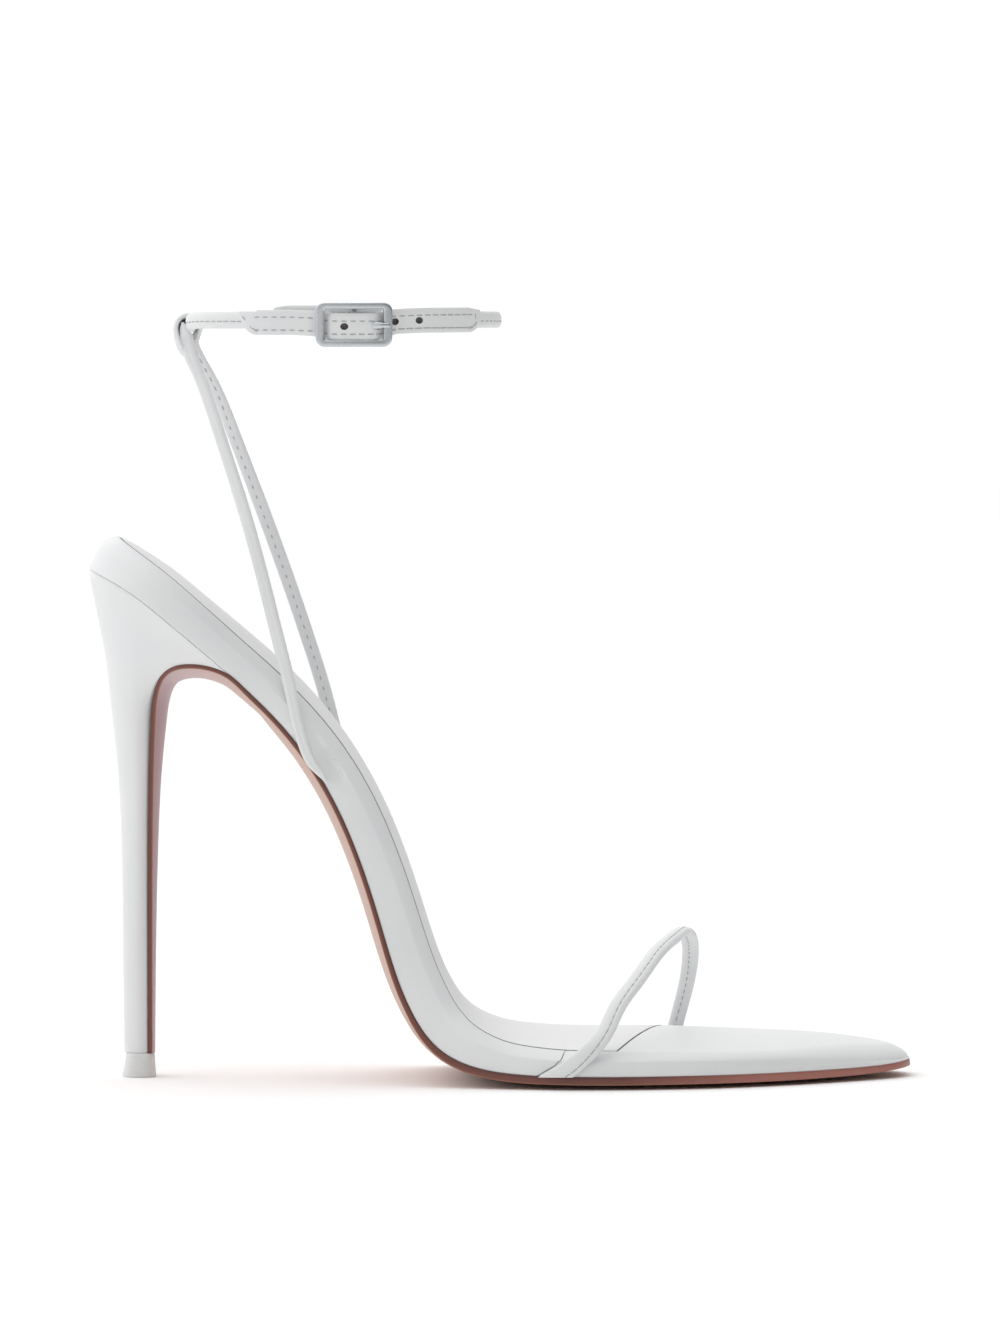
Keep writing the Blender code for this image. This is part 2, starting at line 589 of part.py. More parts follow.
def outsole_edges():
    toe = SPINE.length
    high = toe - TOE_CENTRE_FROM_TIP
    join = UNDER_KNOTS[0]
    alongs = [along for along in sole_alongs() if along > JOIN_ALONG]

    def flap_edge(side, length):
        widest = [row.half for row in HEEL] + [abs(side_y(side, JOIN_ALONG)) + SOLE_EDGE_PROUD]
        knots = list(FLAP_KNOTS) + [join]
        return Edge(length, side * float(np.interp(length, knots, widest)), length, 0.0)

    def sole_edge(side, along):
        length = float(np.interp(along, UNDER_ALONGS, UNDER_KNOTS))
        middle_along = min(along, high)
        middle = float(np.interp(middle_along, UNDER_ALONGS, UNDER_KNOTS))
        ease = min(1.0, (along - JOIN_ALONG) / MIDDLE_EASE)
        edge = Edge(length, side_y(side, along), middle, middle_y(middle_along) * ease)
        edge.place = edge.inset(-SOLE_EDGE_PROUD)
        return Edge(edge.place[0], edge.place[1], edge.middle[0], edge.middle[1])

    flap_lengths = join * (1 - np.linspace(1.0, 0.0, FLAP_STATIONS) ** FLAP_CROWDING)
    breast_middle = Edge(0.0, 0.0, 0.0, 0.0)
    lateral = [flap_edge(-1, length) for length in flap_lengths]
    lateral += [sole_edge(-1, along) for along in alongs]
    medial = [flap_edge(1, length) for length in flap_lengths]
    medial += [sole_edge(1, along) for along in alongs[:-1]]
    return [breast_middle] + lateral + medial[::-1]


def make_outsole():
    edges = outsole_edges()
    rings = []
    for below, ring_shares in ((True, ACROSS_SHARES), (False, ACROSS_SHARES[::-1])):
        for share in ring_shares:
            points = []
            for edge in edges:
                distance = edge.reach * share
                length, y = edge.inset(distance)
                height = -outsole_belly(length) * bulge(edge.share(distance))
                if below:
                    height -= under_value("sole", length)
                point = on_path(UNDER, length, y, height)
                point[2] = max(point[2], 0.0)
                points.append(point)
            rings.append(points)
    verts, faces = loft(rings, close_start=False, close_end=False)
    return new_object("outsole", verts, faces, SOLE_LEATHER)


def make_heel():
    turns = np.linspace(0.0, math.pi / 2, HEEL_SIDE_STEPS + 1)
    shares = np.sin(turns)
    fronts = np.linspace(1.0, -1.0, HEEL_FRONT_STEPS + 1)[1:-1]
    rings = []
    for row, length in zip(HEEL, FLAP_KNOTS):
        corner = on_path(UNDER, length, 0.0, GAP)
        ring = []
        for side, order in ((-1, shares), (1, shares[-2::-1])):
            for share in order:
                x = corner[0] + (row.back_x - corner[0]) * share
                z = corner[2] + (row.back_z - corner[2]) * share
                y = side * row.half * math.sqrt(max(0.0, 1 - share**row.square))
                ring.append(np.array([x, y, z]))
        for across in fronts:
            height = GAP - row.belly * (1 - across**2)
            ring.append(on_path(UNDER, length, across * row.half, height))
        rings.append(ring)
    top = []
    for side, order in ((-1, shares), (1, shares[-2::-1])):
        for share in order:
            along = HEEL_LIP_ALONG * (1 - share)
            y = side_y(side, along)
            y -= side * min(abs(y), HEEL_INSET)
            top.append(on_path(SPINE, along + HEEL_INSET * share, y, -GAP))
    for across in fronts:
        width = side_y(1 if across > 0 else -1, HEEL_LIP_ALONG) * abs(across)
        top.append(on_path(SPINE, HEEL_LIP_ALONG, width, -GAP))
    rings.append(top)
    verts, faces = loft(rings, close_end=False)
    first = len(verts) - len(top)
    last_side = 2 * HEEL_SIDE_STEPS
    for k in range(1, HEEL_SIDE_STEPS - 1):
        faces.append((first + k, first + k + 1, first + last_side - k - 1, first + last_side - k))
    back = first + HEEL_SIDE_STEPS
    faces.append((back - 1, back, back + 1))
    front = [first + last_side - 1, first + last_side]
    front += range(first + last_side + 1, len(verts))
    front += [first, first + 1]
    faces.append(tuple(front))
    return new_object("heel", verts, faces, WHITE_LEATHER)


def make_top_piece():
    rings = []
    for row in TOP_PIECE:
        middle, reach = (row.back + row.front) / 2, (row.front - row.back) / 2
        ring = []
        for k in range(TOP_PIECE_SIDES):
            turn = 2 * math.pi * k / TOP_PIECE_SIDES
            power = 2 / TOP_PIECE_SQUARE
            x = middle + reach * math.copysign(abs(math.cos(turn)) ** power, math.cos(turn))
            y = row.half * math.copysign(abs(math.sin(turn)) ** power, math.sin(turn))
            ring.append(np.array([x, y, row.z]))
        rings.append(ring)
    verts, faces = loft(rings)
    return new_object("top_piece", verts, faces, TOP_PIECE_RUBBER)


def flat_oval(width, thick):
    """A strap's section: rounded edges, flat faces. Pairs of (across, out)."""
    points = []
    for k in range(STRAP_SIDES):
        turn = 2 * math.pi * (k + 0.5) / STRAP_SIDES
        across = math.copysign(abs(math.cos(turn)) ** STRAP_ROUND, math.cos(turn))
        out = math.copysign(abs(math.sin(turn)) ** STRAP_ROUND, math.sin(turn))
        points.append((across * width / 2, out * thick / 2))
    return points


def make_strap(name, rows):
    path = Path([(row.x, row.y, row.z) for row in rows])
    table = np.array(rows)
    stations = [0.0]
    for low, high in zip(path.knots[:-1], path.knots[1:]):
        pieces = max(STRAP_LEAST_PIECES, math.ceil((high - low) / STRAP_STEP))
        stations += list(np.linspace(low, high, pieces + 1)[1:])
    rings = []
    for length in stations:
        values = [np.interp(length, path.knots, table[:, c]) for c in range(3, 8)]
        along = path.direction(length)
        face = np.array(values[:3])
        face -= along * face.dot(along)
        face /= np.linalg.norm(face)
        side = np.cross(along, face)
        middle = path.at(length)
        rings.append([middle + side * a + face * o for a, o in flat_oval(values[3], values[4])])
    verts, faces = loft(rings)
    return new_object(name, verts, faces, WHITE_LEATHER)


def ankle_loop():
    """The ankle strap's middle line from above, by length from the middle of the buckle."""
    turns = np.linspace(0.0, 2 * math.pi, FINE_STEPS)
    first = math.acos((BUCKLE_X - LOOP_CENTRE_X) / LOOP_HALF_LENGTH)
    x = LOOP_CENTRE_X + LOOP_HALF_LENGTH * np.cos(turns - first)
    y = LOOP_HALF_WIDTH * np.sin(turns - first)
    steps = np.hypot(np.diff(x), np.diff(y))
    run = np.concatenate([[0.0], np.cumsum(steps)])
    return run, x, y


LOOP_RUN, LOOP_X, LOOP_Y = ankle_loop()
LOOP_LENGTH = LOOP_RUN[-1]


def on_loop(along, out, height):
    """The point at a length along the ankle loop, out of it and above it."""
    at = along % LOOP_LENGTH
    x, y = np.interp(at, LOOP_RUN, LOOP_X), np.interp(at, LOOP_RUN, LOOP_Y)
    normal_x = (x - LOOP_CENTRE_X) / LOOP_HALF_LENGTH**2
    normal_y = y / LOOP_HALF_WIDTH**2
    size = math.hypot(normal_x, normal_y)
    return np.array([x + out * normal_x / size, y + out * normal_y / size, LOOP_Z + height])


def make_ankle_strap():
    """One strap: tab at the buckle, round the ankle, through the buckle and over itself to its tip."""
    run = np.array([row.turn * LOOP_LENGTH + row.along for row in ANKLE_STRAP])
    lengths = -run
    stations = set(np.round(lengths, 4))
    for low, high in zip(lengths[:-1], lengths[1:]):
        pieces = max(1, int((high - low) / ANKLE_STEP))
        stations |= set(np.round(np.linspace(low, high, pieces + 1), 4))
    rings = []
    for length in sorted(stations):
        names = ("out", "lift", "width", "thick")
        columns = ([getattr(row, name) for row in ANKLE_STRAP] for name in names)
        out, lift, width, thick = (np.interp(length, lengths, column) for column in columns)
        oval = flat_oval(width, thick)
        rings.append([on_loop(-length, out + o, lift + a) for a, o in oval])
    verts, faces = loft(rings)
    return new_object("ankle_strap", verts, faces, WHITE_LEATHER)


def rounded_rectangle(length, height, corner):
    """The outline of a rounded rectangle around the origin, as (along, up)."""
    points = []
    for quarter in range(4):
        start = quarter * math.pi / 2
        side_x = 1 if quarter in (0, 3) else -1
        side_z = 1 if quarter in (0, 1) else -1
        middle = (side_x * (length / 2 - corner), side_z * (height / 2 - corner))
        for k in range(CORNER_STEPS + 1):
            turn = start + k * math.pi / 2 / CORNER_STEPS
            points.append((middle[0] + corner * math.cos(turn), middle[1] + corner * math.sin(turn)))
    return points


def loop_box(along_low, along_high, out_low, out_high, up_low, up_high):
    rings = []
    for along in (along_low, along_high):
        corners = [(out_low, up_low), (out_high, up_low), (out_high, up_high), (out_low, up_high)]
        rings.append([on_loop(along, out, up) for out, up in corners])
    return loft(rings)


def make_buckle_frame():
    """A bevelled rectangular ring that follows the ankle's curve, with its bar behind the strap."""
    sizes = [
        (0.0, FRAME_OUT_LOW),
        (0.0, FRAME_OUT_HIGH - FRAME_BEVEL),
        (FRAME_BEVEL, FRAME_OUT_HIGH),
        (FRAME_BAR - FRAME_BEVEL, FRAME_OUT_HIGH),
        (FRAME_BAR, FRAME_OUT_HIGH - FRAME_BEVEL),
        (FRAME_BAR, FRAME_OUT_LOW),
    ]
    rings = []
    for inset, out in sizes + sizes[:1]:
        outline = rounded_rectangle(
            FRAME_LENGTH - 2 * inset, FRAME_HEIGHT - 2 * inset, max(LEAST_CORNER, FRAME_CORNER - inset)
        )
        rings.append([on_loop(along, out, FRAME_LIFT + up) for along, up in outline])
    verts, faces = loft(rings, close_start=False, close_end=False)
    frame = new_object("buckle_frame", verts, faces, SATIN_METAL)
    rail_low = FRAME_HEIGHT / 2 - FRAME_BAR
    ends = FRAME_HEIGHT / 2 - FRAME_BEVEL
    bar_low, bar_high = FRAME_LIFT - ends, FRAME_LIFT + ends
    pieces = [loop_box(-BAR_HALF, BAR_HALF, BAR_OUT_LOW, BAR_OUT_HIGH, bar_low, bar_high)]
    post_out_high = FRAME_OUT_LOW + FRAME_BAR / 2
    for side in (-1, 1):
        up_low, up_high = sorted((side * (rail_low + GAP), side * ends))
        pieces.append(
            loop_box(
                -POST_LENGTH / 2 - GAP,
                POST_LENGTH / 2 + GAP,
                BAR_OUT_LOW + GAP,
                post_out_high,
                FRAME_LIFT + up_low,
                FRAME_LIFT + up_high,
            )
        )
    for k, (piece_verts, piece_faces) in enumerate(pieces):
        piece = new_object("buckle_bar_%d" % k, piece_verts, piece_faces, SATIN_METAL)
        add_boolean(frame, piece, "UNION")
    return frame


def make_buckle_prong():
    rings = []
    for share in np.linspace(0.0, 1.0, PRONG_STATIONS):
        along = PRONG_START + (PRONG_END - PRONG_START) * share
        rise = math.sin(min(1.0, share * PRONG_STEEP) * math.pi / 2)
        out = PRONG_OUT_START + (PRONG_OUT_END - PRONG_OUT_START) * rise
        taper = 1.0 - PRONG_TAPER * share
        oval = flat_oval(PRONG_WIDTH * taper, PRONG_THICK * taper)
        rings.append([on_loop(along, out + o, PRONG_LIFT + a) for a, o in oval])
    verts, faces = loft(rings)
    return new_object("buckle_prong", verts, faces, SATIN_METAL)


def stand_on_origin(objects):
    """Parents the pieces to one empty that puts the middle of the shoe's box over the origin."""
    corners = np.array([vert.co[:] for obj in objects for vert in obj.data.vertices])
    low, high = corners.min(axis=0), corners.max(axis=0)
    shoe = bpy.data.objects.new("shoe", None)
    shoe.location = (-(low[0] + high[0]) / 2, -(low[1] + high[1]) / 2, -low[2])
    bpy.context.scene.collection.objects.link(shoe)
    for obj in bpy.data.objects:
        if obj.type == "MESH":
            obj.parent = shoe


def main():
    for obj in list(bpy.data.objects):
        bpy.data.objects.remove(obj)
    pieces = [
        make_footbed(),
        make_sock(),
        make_outsole(),
        make_heel(),
        make_top_piece(),
        make_strap("toe_strap", TOE_STRAP),
        make_strap("back_strap", BACK_STRAP),
        make_ankle_strap(),
        make_buckle_frame(),
        make_buckle_prong(),
    ]
    stand_on_origin(pieces)


main()
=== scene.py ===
import math

import bmesh
import bpy
import numpy as np
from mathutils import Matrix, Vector, kdtree


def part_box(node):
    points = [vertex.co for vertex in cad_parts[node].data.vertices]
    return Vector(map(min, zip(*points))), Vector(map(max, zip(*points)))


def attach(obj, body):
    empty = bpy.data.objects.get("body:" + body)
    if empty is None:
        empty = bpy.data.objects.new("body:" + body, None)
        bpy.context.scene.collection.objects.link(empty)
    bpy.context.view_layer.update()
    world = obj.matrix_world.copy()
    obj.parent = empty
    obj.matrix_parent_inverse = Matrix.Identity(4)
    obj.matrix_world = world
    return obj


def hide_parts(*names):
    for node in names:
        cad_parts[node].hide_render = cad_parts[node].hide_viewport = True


# White ankle strap sandal, right shoe. Sizes are in millimetres, toe to +X, inner side to +Y, floor at Z 0.

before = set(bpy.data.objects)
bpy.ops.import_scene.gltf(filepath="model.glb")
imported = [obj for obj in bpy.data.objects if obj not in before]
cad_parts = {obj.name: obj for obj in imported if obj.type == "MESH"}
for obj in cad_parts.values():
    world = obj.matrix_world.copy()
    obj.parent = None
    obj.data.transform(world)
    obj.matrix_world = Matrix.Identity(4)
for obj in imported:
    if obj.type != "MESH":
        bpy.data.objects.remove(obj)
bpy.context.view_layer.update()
mm = 0.001
print("frame:", len(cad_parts), "nodes")

topPiece = {
    "rows": [  # z, back, front, half width, from the heel's tip down to the floor
        (5.58, -86.45, -80.45, 4.1), (5.5, -86.7, -80.2, 4.35), (5.25, -86.78, -80.12, 4.43),
        (4.2, -86.85, -80.05, 4.5), (2.2, -87.2, -79.95, 4.75), (0.6, -87.6, -79.8, 5.0),
        (0.22, -87.6, -79.8, 5.0), (0.0, -87.38, -80.02, 4.78),
    ],
    "middle": -83.7,
    "square": 2.6,
    "sides": 64,
}
tipLow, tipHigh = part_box("top_piece")
tipMiddle = (tipLow + tipHigh) / 2 / mm
shift = np.array([tipMiddle.x - topPiece["middle"], tipMiddle.y, 0.0])   # from these tables to the frame
fineSteps = 4000   # points along a smooth curve


# Curves and tables

def naturalCubic(knots, values, at):
    step = np.diff(knots)
    count = len(knots)
    system, right = np.eye(count), np.zeros(count)
    for i in range(1, count - 1):
        system[i, i - 1:i + 2] = step[i - 1], 2 * (step[i - 1] + step[i]), step[i]
        right[i] = 6 * ((values[i + 1] - values[i]) / step[i] - (values[i] - values[i - 1]) / step[i - 1])
    bend = np.linalg.solve(system, right)
    i = np.clip(np.searchsorted(knots, at) - 1, 0, count - 2)
    before, after = at - knots[i], knots[i + 1] - at
    cubic = (bend[i] * after ** 3 + bend[i + 1] * before ** 3) / (6 * step[i])
    left = (values[i] / step[i] - bend[i] * step[i] / 6) * after
    return cubic + left + (values[i + 1] / step[i] - bend[i + 1] * step[i] / 6) * before


def runLength(points):
    return np.concatenate([[0.0], np.cumsum(np.linalg.norm(np.diff(points, axis=0), axis=1))])


def unit(vectors):
    return vectors / np.linalg.norm(vectors, axis=-1, keepdims=True)


def lobe(turn, square):
    # Once around: round at 2, squarer above it
    return [np.sign(part) * np.abs(part) ** (2 / square) for part in (np.cos(turn), np.sin(turn))]


def makePath(points):
    points = np.array(points, float)
    chords = runLength(points)
    at = np.linspace(0.0, chords[-1], fineSteps)
    dense = np.stack([naturalCubic(chords, values, at) for values in points.T], axis=1)
    run = runLength(dense)
    slopes, knots = unit(np.gradient(dense, run, axis=0)), np.interp(chords, at, run)
    return {"points": dense, "run": run, "slopes": slopes, "knots": knots, "length": run[-1]}


def between(at, knots, rows):
    return np.stack([np.interp(at, knots, values) for values in rows.T], axis=-1)


def pathPoint(path, along, what="points"):
    return between(along, path["run"], path[what])


def smoothColumns(knots, rows, names, blur):
    grid = np.linspace(0.0, knots[-1], fineSteps)
    window = np.hanning(int(blur / grid[1]))
    window /= window.sum()
    edge = len(window)
    columns = {"grid": grid}
    for name, values in zip(names, np.array(rows, float).T):
        dense = np.pad(np.interp(grid, knots, values), edge, mode="edge")
        columns[name] = np.convolve(dense, window, mode="same")[edge:-edge]
    return columns


def column(name, along):
    return np.interp(along, soleColumns["grid"], soleColumns[name])


def clamp(share):
    return np.clip(share, 0.0, 1.0)


def ease(value, low, high):
    share = clamp((value - low) / (high - low))
    return share * share * (3 - 2 * share)


def blend(first, second, share):
    return first + (second - first) * share


def around(sides):
    return np.linspace(0.0, 2 * math.pi, sides, endpoint=False)


# Mesh helpers

def makePiece(name, verts, faces, material, sharp=35, second=None, marks=None):
    build = bmesh.new()
    points = [build.verts.new(point) for point in (np.asarray(verts) + shift) * mm]
    for k, face in enumerate(faces):
        made = build.faces.new([points[i] for i in face])
        made.material_index = marks[k] if marks else 0
    bmesh.ops.remove_doubles(build, verts=build.verts, dist=0.002 * mm)
    bmesh.ops.dissolve_degenerate(build, edges=build.edges, dist=0.001 * mm)
    bmesh.ops.recalc_face_normals(build, faces=build.faces)
    return builtObject(name, build, [material, second] if second else [material], sharp)


def tube(name, rings, material):
    return makePiece(name, *skin(rings, True, True), material)


def addObject(name, data):
    made = bpy.data.objects.new(name, data)
    bpy.context.scene.collection.objects.link(made)
    return made


def builtObject(name, build, materials, sharp):
    mesh = bpy.data.meshes.new(name)
    build.to_mesh(mesh)
    build.free()
    for material in materials:
        mesh.materials.append(material)
    return meshObject(name, mesh, sharp)


def meshObject(name, mesh, sharp=35):
    mesh.name = name
    mesh.shade_smooth()
    mesh.set_sharp_from_angle(angle=math.radians(sharp))
    return addObject(name, mesh)


def skin(rings, closeStart=False, closeEnd=False):
    count = len(rings[0])
    verts = np.concatenate(rings)
    faces = []
    for r in range(len(rings) - 1):
        low, high = r * count, (r + 1) * count
        for j in range(count):
            k = (j + 1) % count
            faces.append((low + j, low + k, high + k, high + j))
    if closeStart:
        faces.append(tuple(reversed(range(count))))
    if closeEnd:
        faces.append(tuple(range(len(verts) - count, len(verts))))
    return verts, faces


def evaluated(piece):
    graph = bpy.context.evaluated_depsgraph_get()
    return bpy.data.meshes.new_from_object(piece.evaluated_get(graph), depsgraph=graph)


def cutOut(piece, cutters, sharp=35):
    # Cut faces take the cutter's material
    name = piece.name
    for cutter in cutters:
        cut = piece.modifiers.new(cutter.name, "BOOLEAN")
        cut.operation, cut.solver, cut.material_mode = "DIFFERENCE", "EXACT", "TRANSFER"
        cut.object = cutter
    mesh = evaluated(piece)
    for old in [piece] + cutters:
        bpy.data.objects.remove(old)
    return meshObject(name, mesh, sharp)


def joinPieces(name, pieces, sharp=35):
    build = bmesh.new()
    materials = []
    for piece in pieces:
        first = len(build.faces)
        build.from_mesh(piece.data)
        build.faces.ensure_lookup_table()
        slots = []
        for material in piece.data.materials:
            if material not in materials:
                materials.append(material)
            slots.append(materials.index(material))
        for face in build.faces[first:]:
            face.material_index = slots[face.material_index]
        bpy.data.objects.remove(piece)
    return builtObject(name, build, materials, sharp)


def putOn(piece, slot, *nodes):
    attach(piece, "root")
    if nodes:
        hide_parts(*nodes)
    piece.data.calc_loop_triangles()
    print("piece:", piece.name, len(piece.data.loop_triangles), "triangles")
    return piece


# Materials

def linear(hexColour):
    parts = [int(hexColour[i:i + 2], 16) / 255 for i in (1, 3, 5)]
    return tuple(c / 12.92 if c <= 0.04045 else ((c + 0.055) / 1.055) ** 2.4 for c in parts) + (1.0,)


def addNode(tree, kind, inputs=None, **settings):
    node = tree.nodes.new(kind)
    for name, value in settings.items():
        setattr(node, name, value)
    for key, value in (inputs or {}).items():
        if isinstance(value, bpy.types.NodeSocket):
            tree.links.new(value, node.inputs[key])
        else:
            node.inputs[key].default_value = value
    return node


def result(tree, kind, inputs=None, **settings):
    return addNode(tree, kind, inputs, **settings).outputs[0]


def mapRange(tree, value, low, high, start=0.0, end=1.0):
    limits = {"From Min": low, "From Max": high, "To Min": start, "To Max": end}
    return result(tree, "ShaderNodeMapRange", {"Value": value, **limits})


def noise(tree, place, size, detail):
    return result(tree, "ShaderNodeTexNoise", {"Vector": place, "Scale": 1 / (size * mm), "Detail": detail})


def colourRamp(tree, value, stops):
    node = addNode(tree, "ShaderNodeValToRGB", {"Fac": value})
    bar = node.color_ramp.elements
    while len(bar) < len(stops):
        bar.new(1.0)
    for element, (place, colour) in zip(bar, stops):
        element.position, element.color = place, linear(colour)
    return node.outputs[0]


def mixColours(tree, share, first, second):
    return addNode(tree, "ShaderNodeMix", {0: share, 6: first, 7: second}, data_type="RGBA").outputs[2]


def newMaterial(name, **sockets):
    material = bpy.data.materials.new(name)
    material.use_nodes = True
    tree = material.node_tree
    shader = tree.nodes["Principled BSDF"]
    for key, value in sockets.items():
        shader.inputs[key.replace("_", " ")].default_value = value
    return material, tree, shader, addNode(tree, "ShaderNodeTexCoord").outputs["Object"]


def addSurface(tree, shader, colour, height, grain, strength, gloss, rough):
    bump = result(tree, "ShaderNodeBump", {"Height": height, "Distance": grain * mm, "Strength": strength})
    looks = {"Base Color": colour, "Normal": bump, "Roughness": mapRange(tree, gloss, *rough)}
    for name, output in looks.items():
        tree.links.new(output, shader.inputs[name])


def leatherMaterial(name, light, dark, roughLow, roughHigh, grain):
    # Pigmented calf leather: fine pores with a soft, even sheen, a little cloudy over a few centimetres
    material, tree, shader, place = newMaterial(name, Specular_IOR_Level=0.42)
    colour = colourRamp(tree, noise(tree, place, 26, 3.0), [(0.3, dark), (0.7, light)])
    # Pores of real calf are about 0.2 mm across, drawn at twice that so they show
    pores = result(tree, "ShaderNodeTexVoronoi", {"Vector": place, "Scale": 1 / (0.45 * mm)})
    soft = noise(tree, place, 1.6, 4.0)
    height = result(tree, "ShaderNodeMath", {0: pores, 1: soft}, operation="ADD")
    addSurface(tree, shader, colour, height, grain, 0.5, soft, (0.3, 0.7, roughLow, roughHigh))
    return material


soleLook = {  # x in mm
    "warm": (-78, -58), "nude": ("#b69ba2", "#c49e8d"),   # the underside, from the heel's flap to the arch
    "fibre": 1.2, "streak": (0.92, 1.06),
    "ink": [(0.5, "#8f614b"), (0.62, "#7a483d"), (0.85, "#714237"), (1.0, "#58322b")],   # by the edge's rows
    "thin": (28, 60, 0.8), "thinInk": "#ae7266",          # towards the toe, by this share
}


def soleMaterial():
    # Vegetable tanned sole leather: waxed nude underside, ink-stained and burnished edge, thinner at the toe
    material, tree, shader, place = newMaterial("waxedSoleLeather", Specular_IOR_Level=0.5)
    rim = addNode(tree, "ShaderNodeAttribute", attribute_name="rim").outputs["Fac"]
    lengthwise = result(tree, "ShaderNodeSeparateXYZ", {"Vector": place})
    back, front = soleLook["warm"]
    warm = mapRange(tree, lengthwise, back * mm, front * mm)
    nude = colourRamp(tree, warm, list(zip((0.0, 1.0), soleLook["nude"])))
    fibre = noise(tree, place, soleLook["fibre"], 5.0)
    streak = mapRange(tree, fibre, 0.0, 1.0, *soleLook["streak"])
    toned = result(tree, "ShaderNodeVectorMath", {0: nude, "Scale": streak}, operation="SCALE")
    ink = colourRamp(tree, rim, soleLook["ink"])
    back, front, most = soleLook["thin"]
    thin = mapRange(tree, lengthwise, back * mm, front * mm, 0.0, most)
    isEdge = result(tree, "ShaderNodeMath", {0: rim, 1: 0.3}, operation="GREATER_THAN")
    colour = mixColours(tree, isEdge, toned, mixColours(tree, thin, ink, linear(soleLook["thinInk"])))
    addSurface(tree, shader, colour, fibre, 0.03, 0.4, fibre, (0.0, 1.0, 0.32, 0.5))
    return material


def plainMaterial(name, light, dark, roughLow, roughHigh, grainSize, grain, **sockets):
    material, tree, shader, place = newMaterial(name, **sockets)
    speck = noise(tree, place, grainSize, 3.0)
    colour = colourRamp(tree, speck, [(0.3, dark), (0.7, light)])
    addSurface(tree, shader, colour, speck, grain, 0.4, speck, (0.0, 1.0, roughLow, roughHigh))
    return material


upperLeather = leatherMaterial("whiteCalfLeather", "#e4e5e5", "#e0e1e2", 0.40, 0.52, 0.02)
liningLeather = leatherMaterial("whiteLiningLeather", "#e6e6e7", "#e2e2e3", 0.50, 0.62, 0.025)
soleLeather = soleMaterial()
# Moulded polyurethane heel tip: even off-white, matt from the mould
tipRubber = plainMaterial("mouldedPolyurethane", "#dddedd", "#d7d8d7", 0.45, 0.6, 0.8, 0.02)
# Tumbled nickel plating: satin, with fine soft scratches that blur what it reflects
satinNickel = plainMaterial("tumbledNickel", "#cfd2d4", "#c4c8cb", 0.24, 0.38, 0.5, 0.01, Metallic=1.0)
# Bonded polyester thread: a grey-white twist that lies in its needle holes
threadFibre = plainMaterial("bondedThread", "#b2b5b7", "#a2a5a7", 0.55, 0.7, 0.12, 0.02)
# Dark fibre inside the back strap's loop: painted shade, a dark piece where the loop is closed off in shade
loopShadeFibre = plainMaterial("paintedLoopShade", "#5a5959", "#484747", 0.8, 0.95, 0.3, 0.05)
# Punched holes' walls and bottoms: partly raw cut leather, partly painted shade of the hole
punchedFibreAndShade = plainMaterial("punchedHoleFibreAndShade", "#8a8683", "#75726f", 0.8, 0.95, 0.3, 0.05)
# Needle holes at the stitch ends: small dark marks of painted shade
needleHoleShade = plainMaterial("paintedNeedleHoleShade", "#8c8d8e", "#7c7d7e", 0.8, 0.95, 0.3, 0.05)
# Skived edge of white leather, grey: partly the core where the pigment stops, partly painted shade of the
# open seam around the sock
cutEdgeAndSeamShade = plainMaterial("skivedEdgeAndSeamShade", "#8f9192", "#838586", 0.75, 0.9, 0.4, 0.04)
print("materials ready")


# The sole: tables along the footbed's lower edge, from the back of the heel to the toe tip

sole = {
    "names": ("x", "z", "thick", "wall", "shoulder", "crown", "belly", "sole"),
    "rows": [
        (-95.1, 117.9, 9.9, 6.6, 2.6, 0.6, 0, 1), (-86.6, 113.8, 8.4, 5.6, 2.6, 1, 0, 1),
        (-76, 106, 8.1, 5.6, 2.6, 1, 0, 1), (-64.2, 96, 7.5, 5.4, 2.5, 2.1, 0, 1),
        (-51.4, 83.8, 7.5, 5.4, 2.4, 2.6, 2.2, 1), (-41.1, 70.3, 8, 5.6, 2.4, 1.9, 2.4, 1),
        (-34.2, 56.6, 8.4, 5.9, 2.4, 1.8, 2.4, 1), (-27.3, 36.7, 8.8, 6.3, 2.4, 1.5, 2.2, 1.1),
        (-20.4, 17.5, 9.5, 6.9, 2.5, 1, 1.9, 1.3), (-13.6, 8.6, 9.4, 6.8, 2.7, 1.3, 1.7, 1.6),
        (-6.8, 5.2, 8.3, 5.9, 3, 2, 1.5, 1.8), (2, 3.6, 6.5, 4.6, 3.2, 3, 1.3, 1.85),
        (14, 3.05, 5.7, 4.1, 3.2, 3.3, 1.2, 1.85), (40, 3, 5.4, 3.9, 3.2, 3.3, 1.15, 1.85),
        (50, 3, 5.1, 3.7, 3.2, 3.2, 1.15, 1.85), (68, 3, 4.7, 3.1, 3.6, 3, 1.1, 1.8),
        (80, 3.05, 4.5, 2.1, 4.8, 2.7, 0.9, 1.7), (89, 3.3, 4.1, 1.3, 5.2, 2.2, 0.6, 1.55),
        (95.2, 3.8, 3.2, 0.7, 5, 0.8, 0.2, 1.4),
    ],
    "outline": [  # length along the lower edge, outer side, inner side
        (0.0, 0.0, 0.0), (2.0, -9.6, 9.6), (7.0, -16.9, 16.9), (14.0, -21.8, 21.8), (24.0, -24.0, 24.0),
        (38.0, -23.2, 22.6), (55.0, -21.6, 19.8), (79.0, -21.0, 18.2), (98.0, -22.5, 19.2),
        (119.0, -26.2, 22.6), (136.0, -30.5, 26.8), (155.0, -36.2, 31.8), (173.0, -39.2, 36.2),
        (190.0, -38.0, 38.2), (205.0, -34.0, 36.6), (220.0, -26.6, 31.4), (233.0, -17.6, 24.4),
        (242.0, -10.2, 18.2), (247.5, -4.2, 12.6), (250.0, 4.0, 4.0),
    ],
    "blur": 12.0,
    "toeCentre": 34.0,      # the middle line stops this far from the toe tip
    "heelCentre": 22.0,     # and this far from the back
    "roundSteps": 26,
    "bodySteps": 170,
}
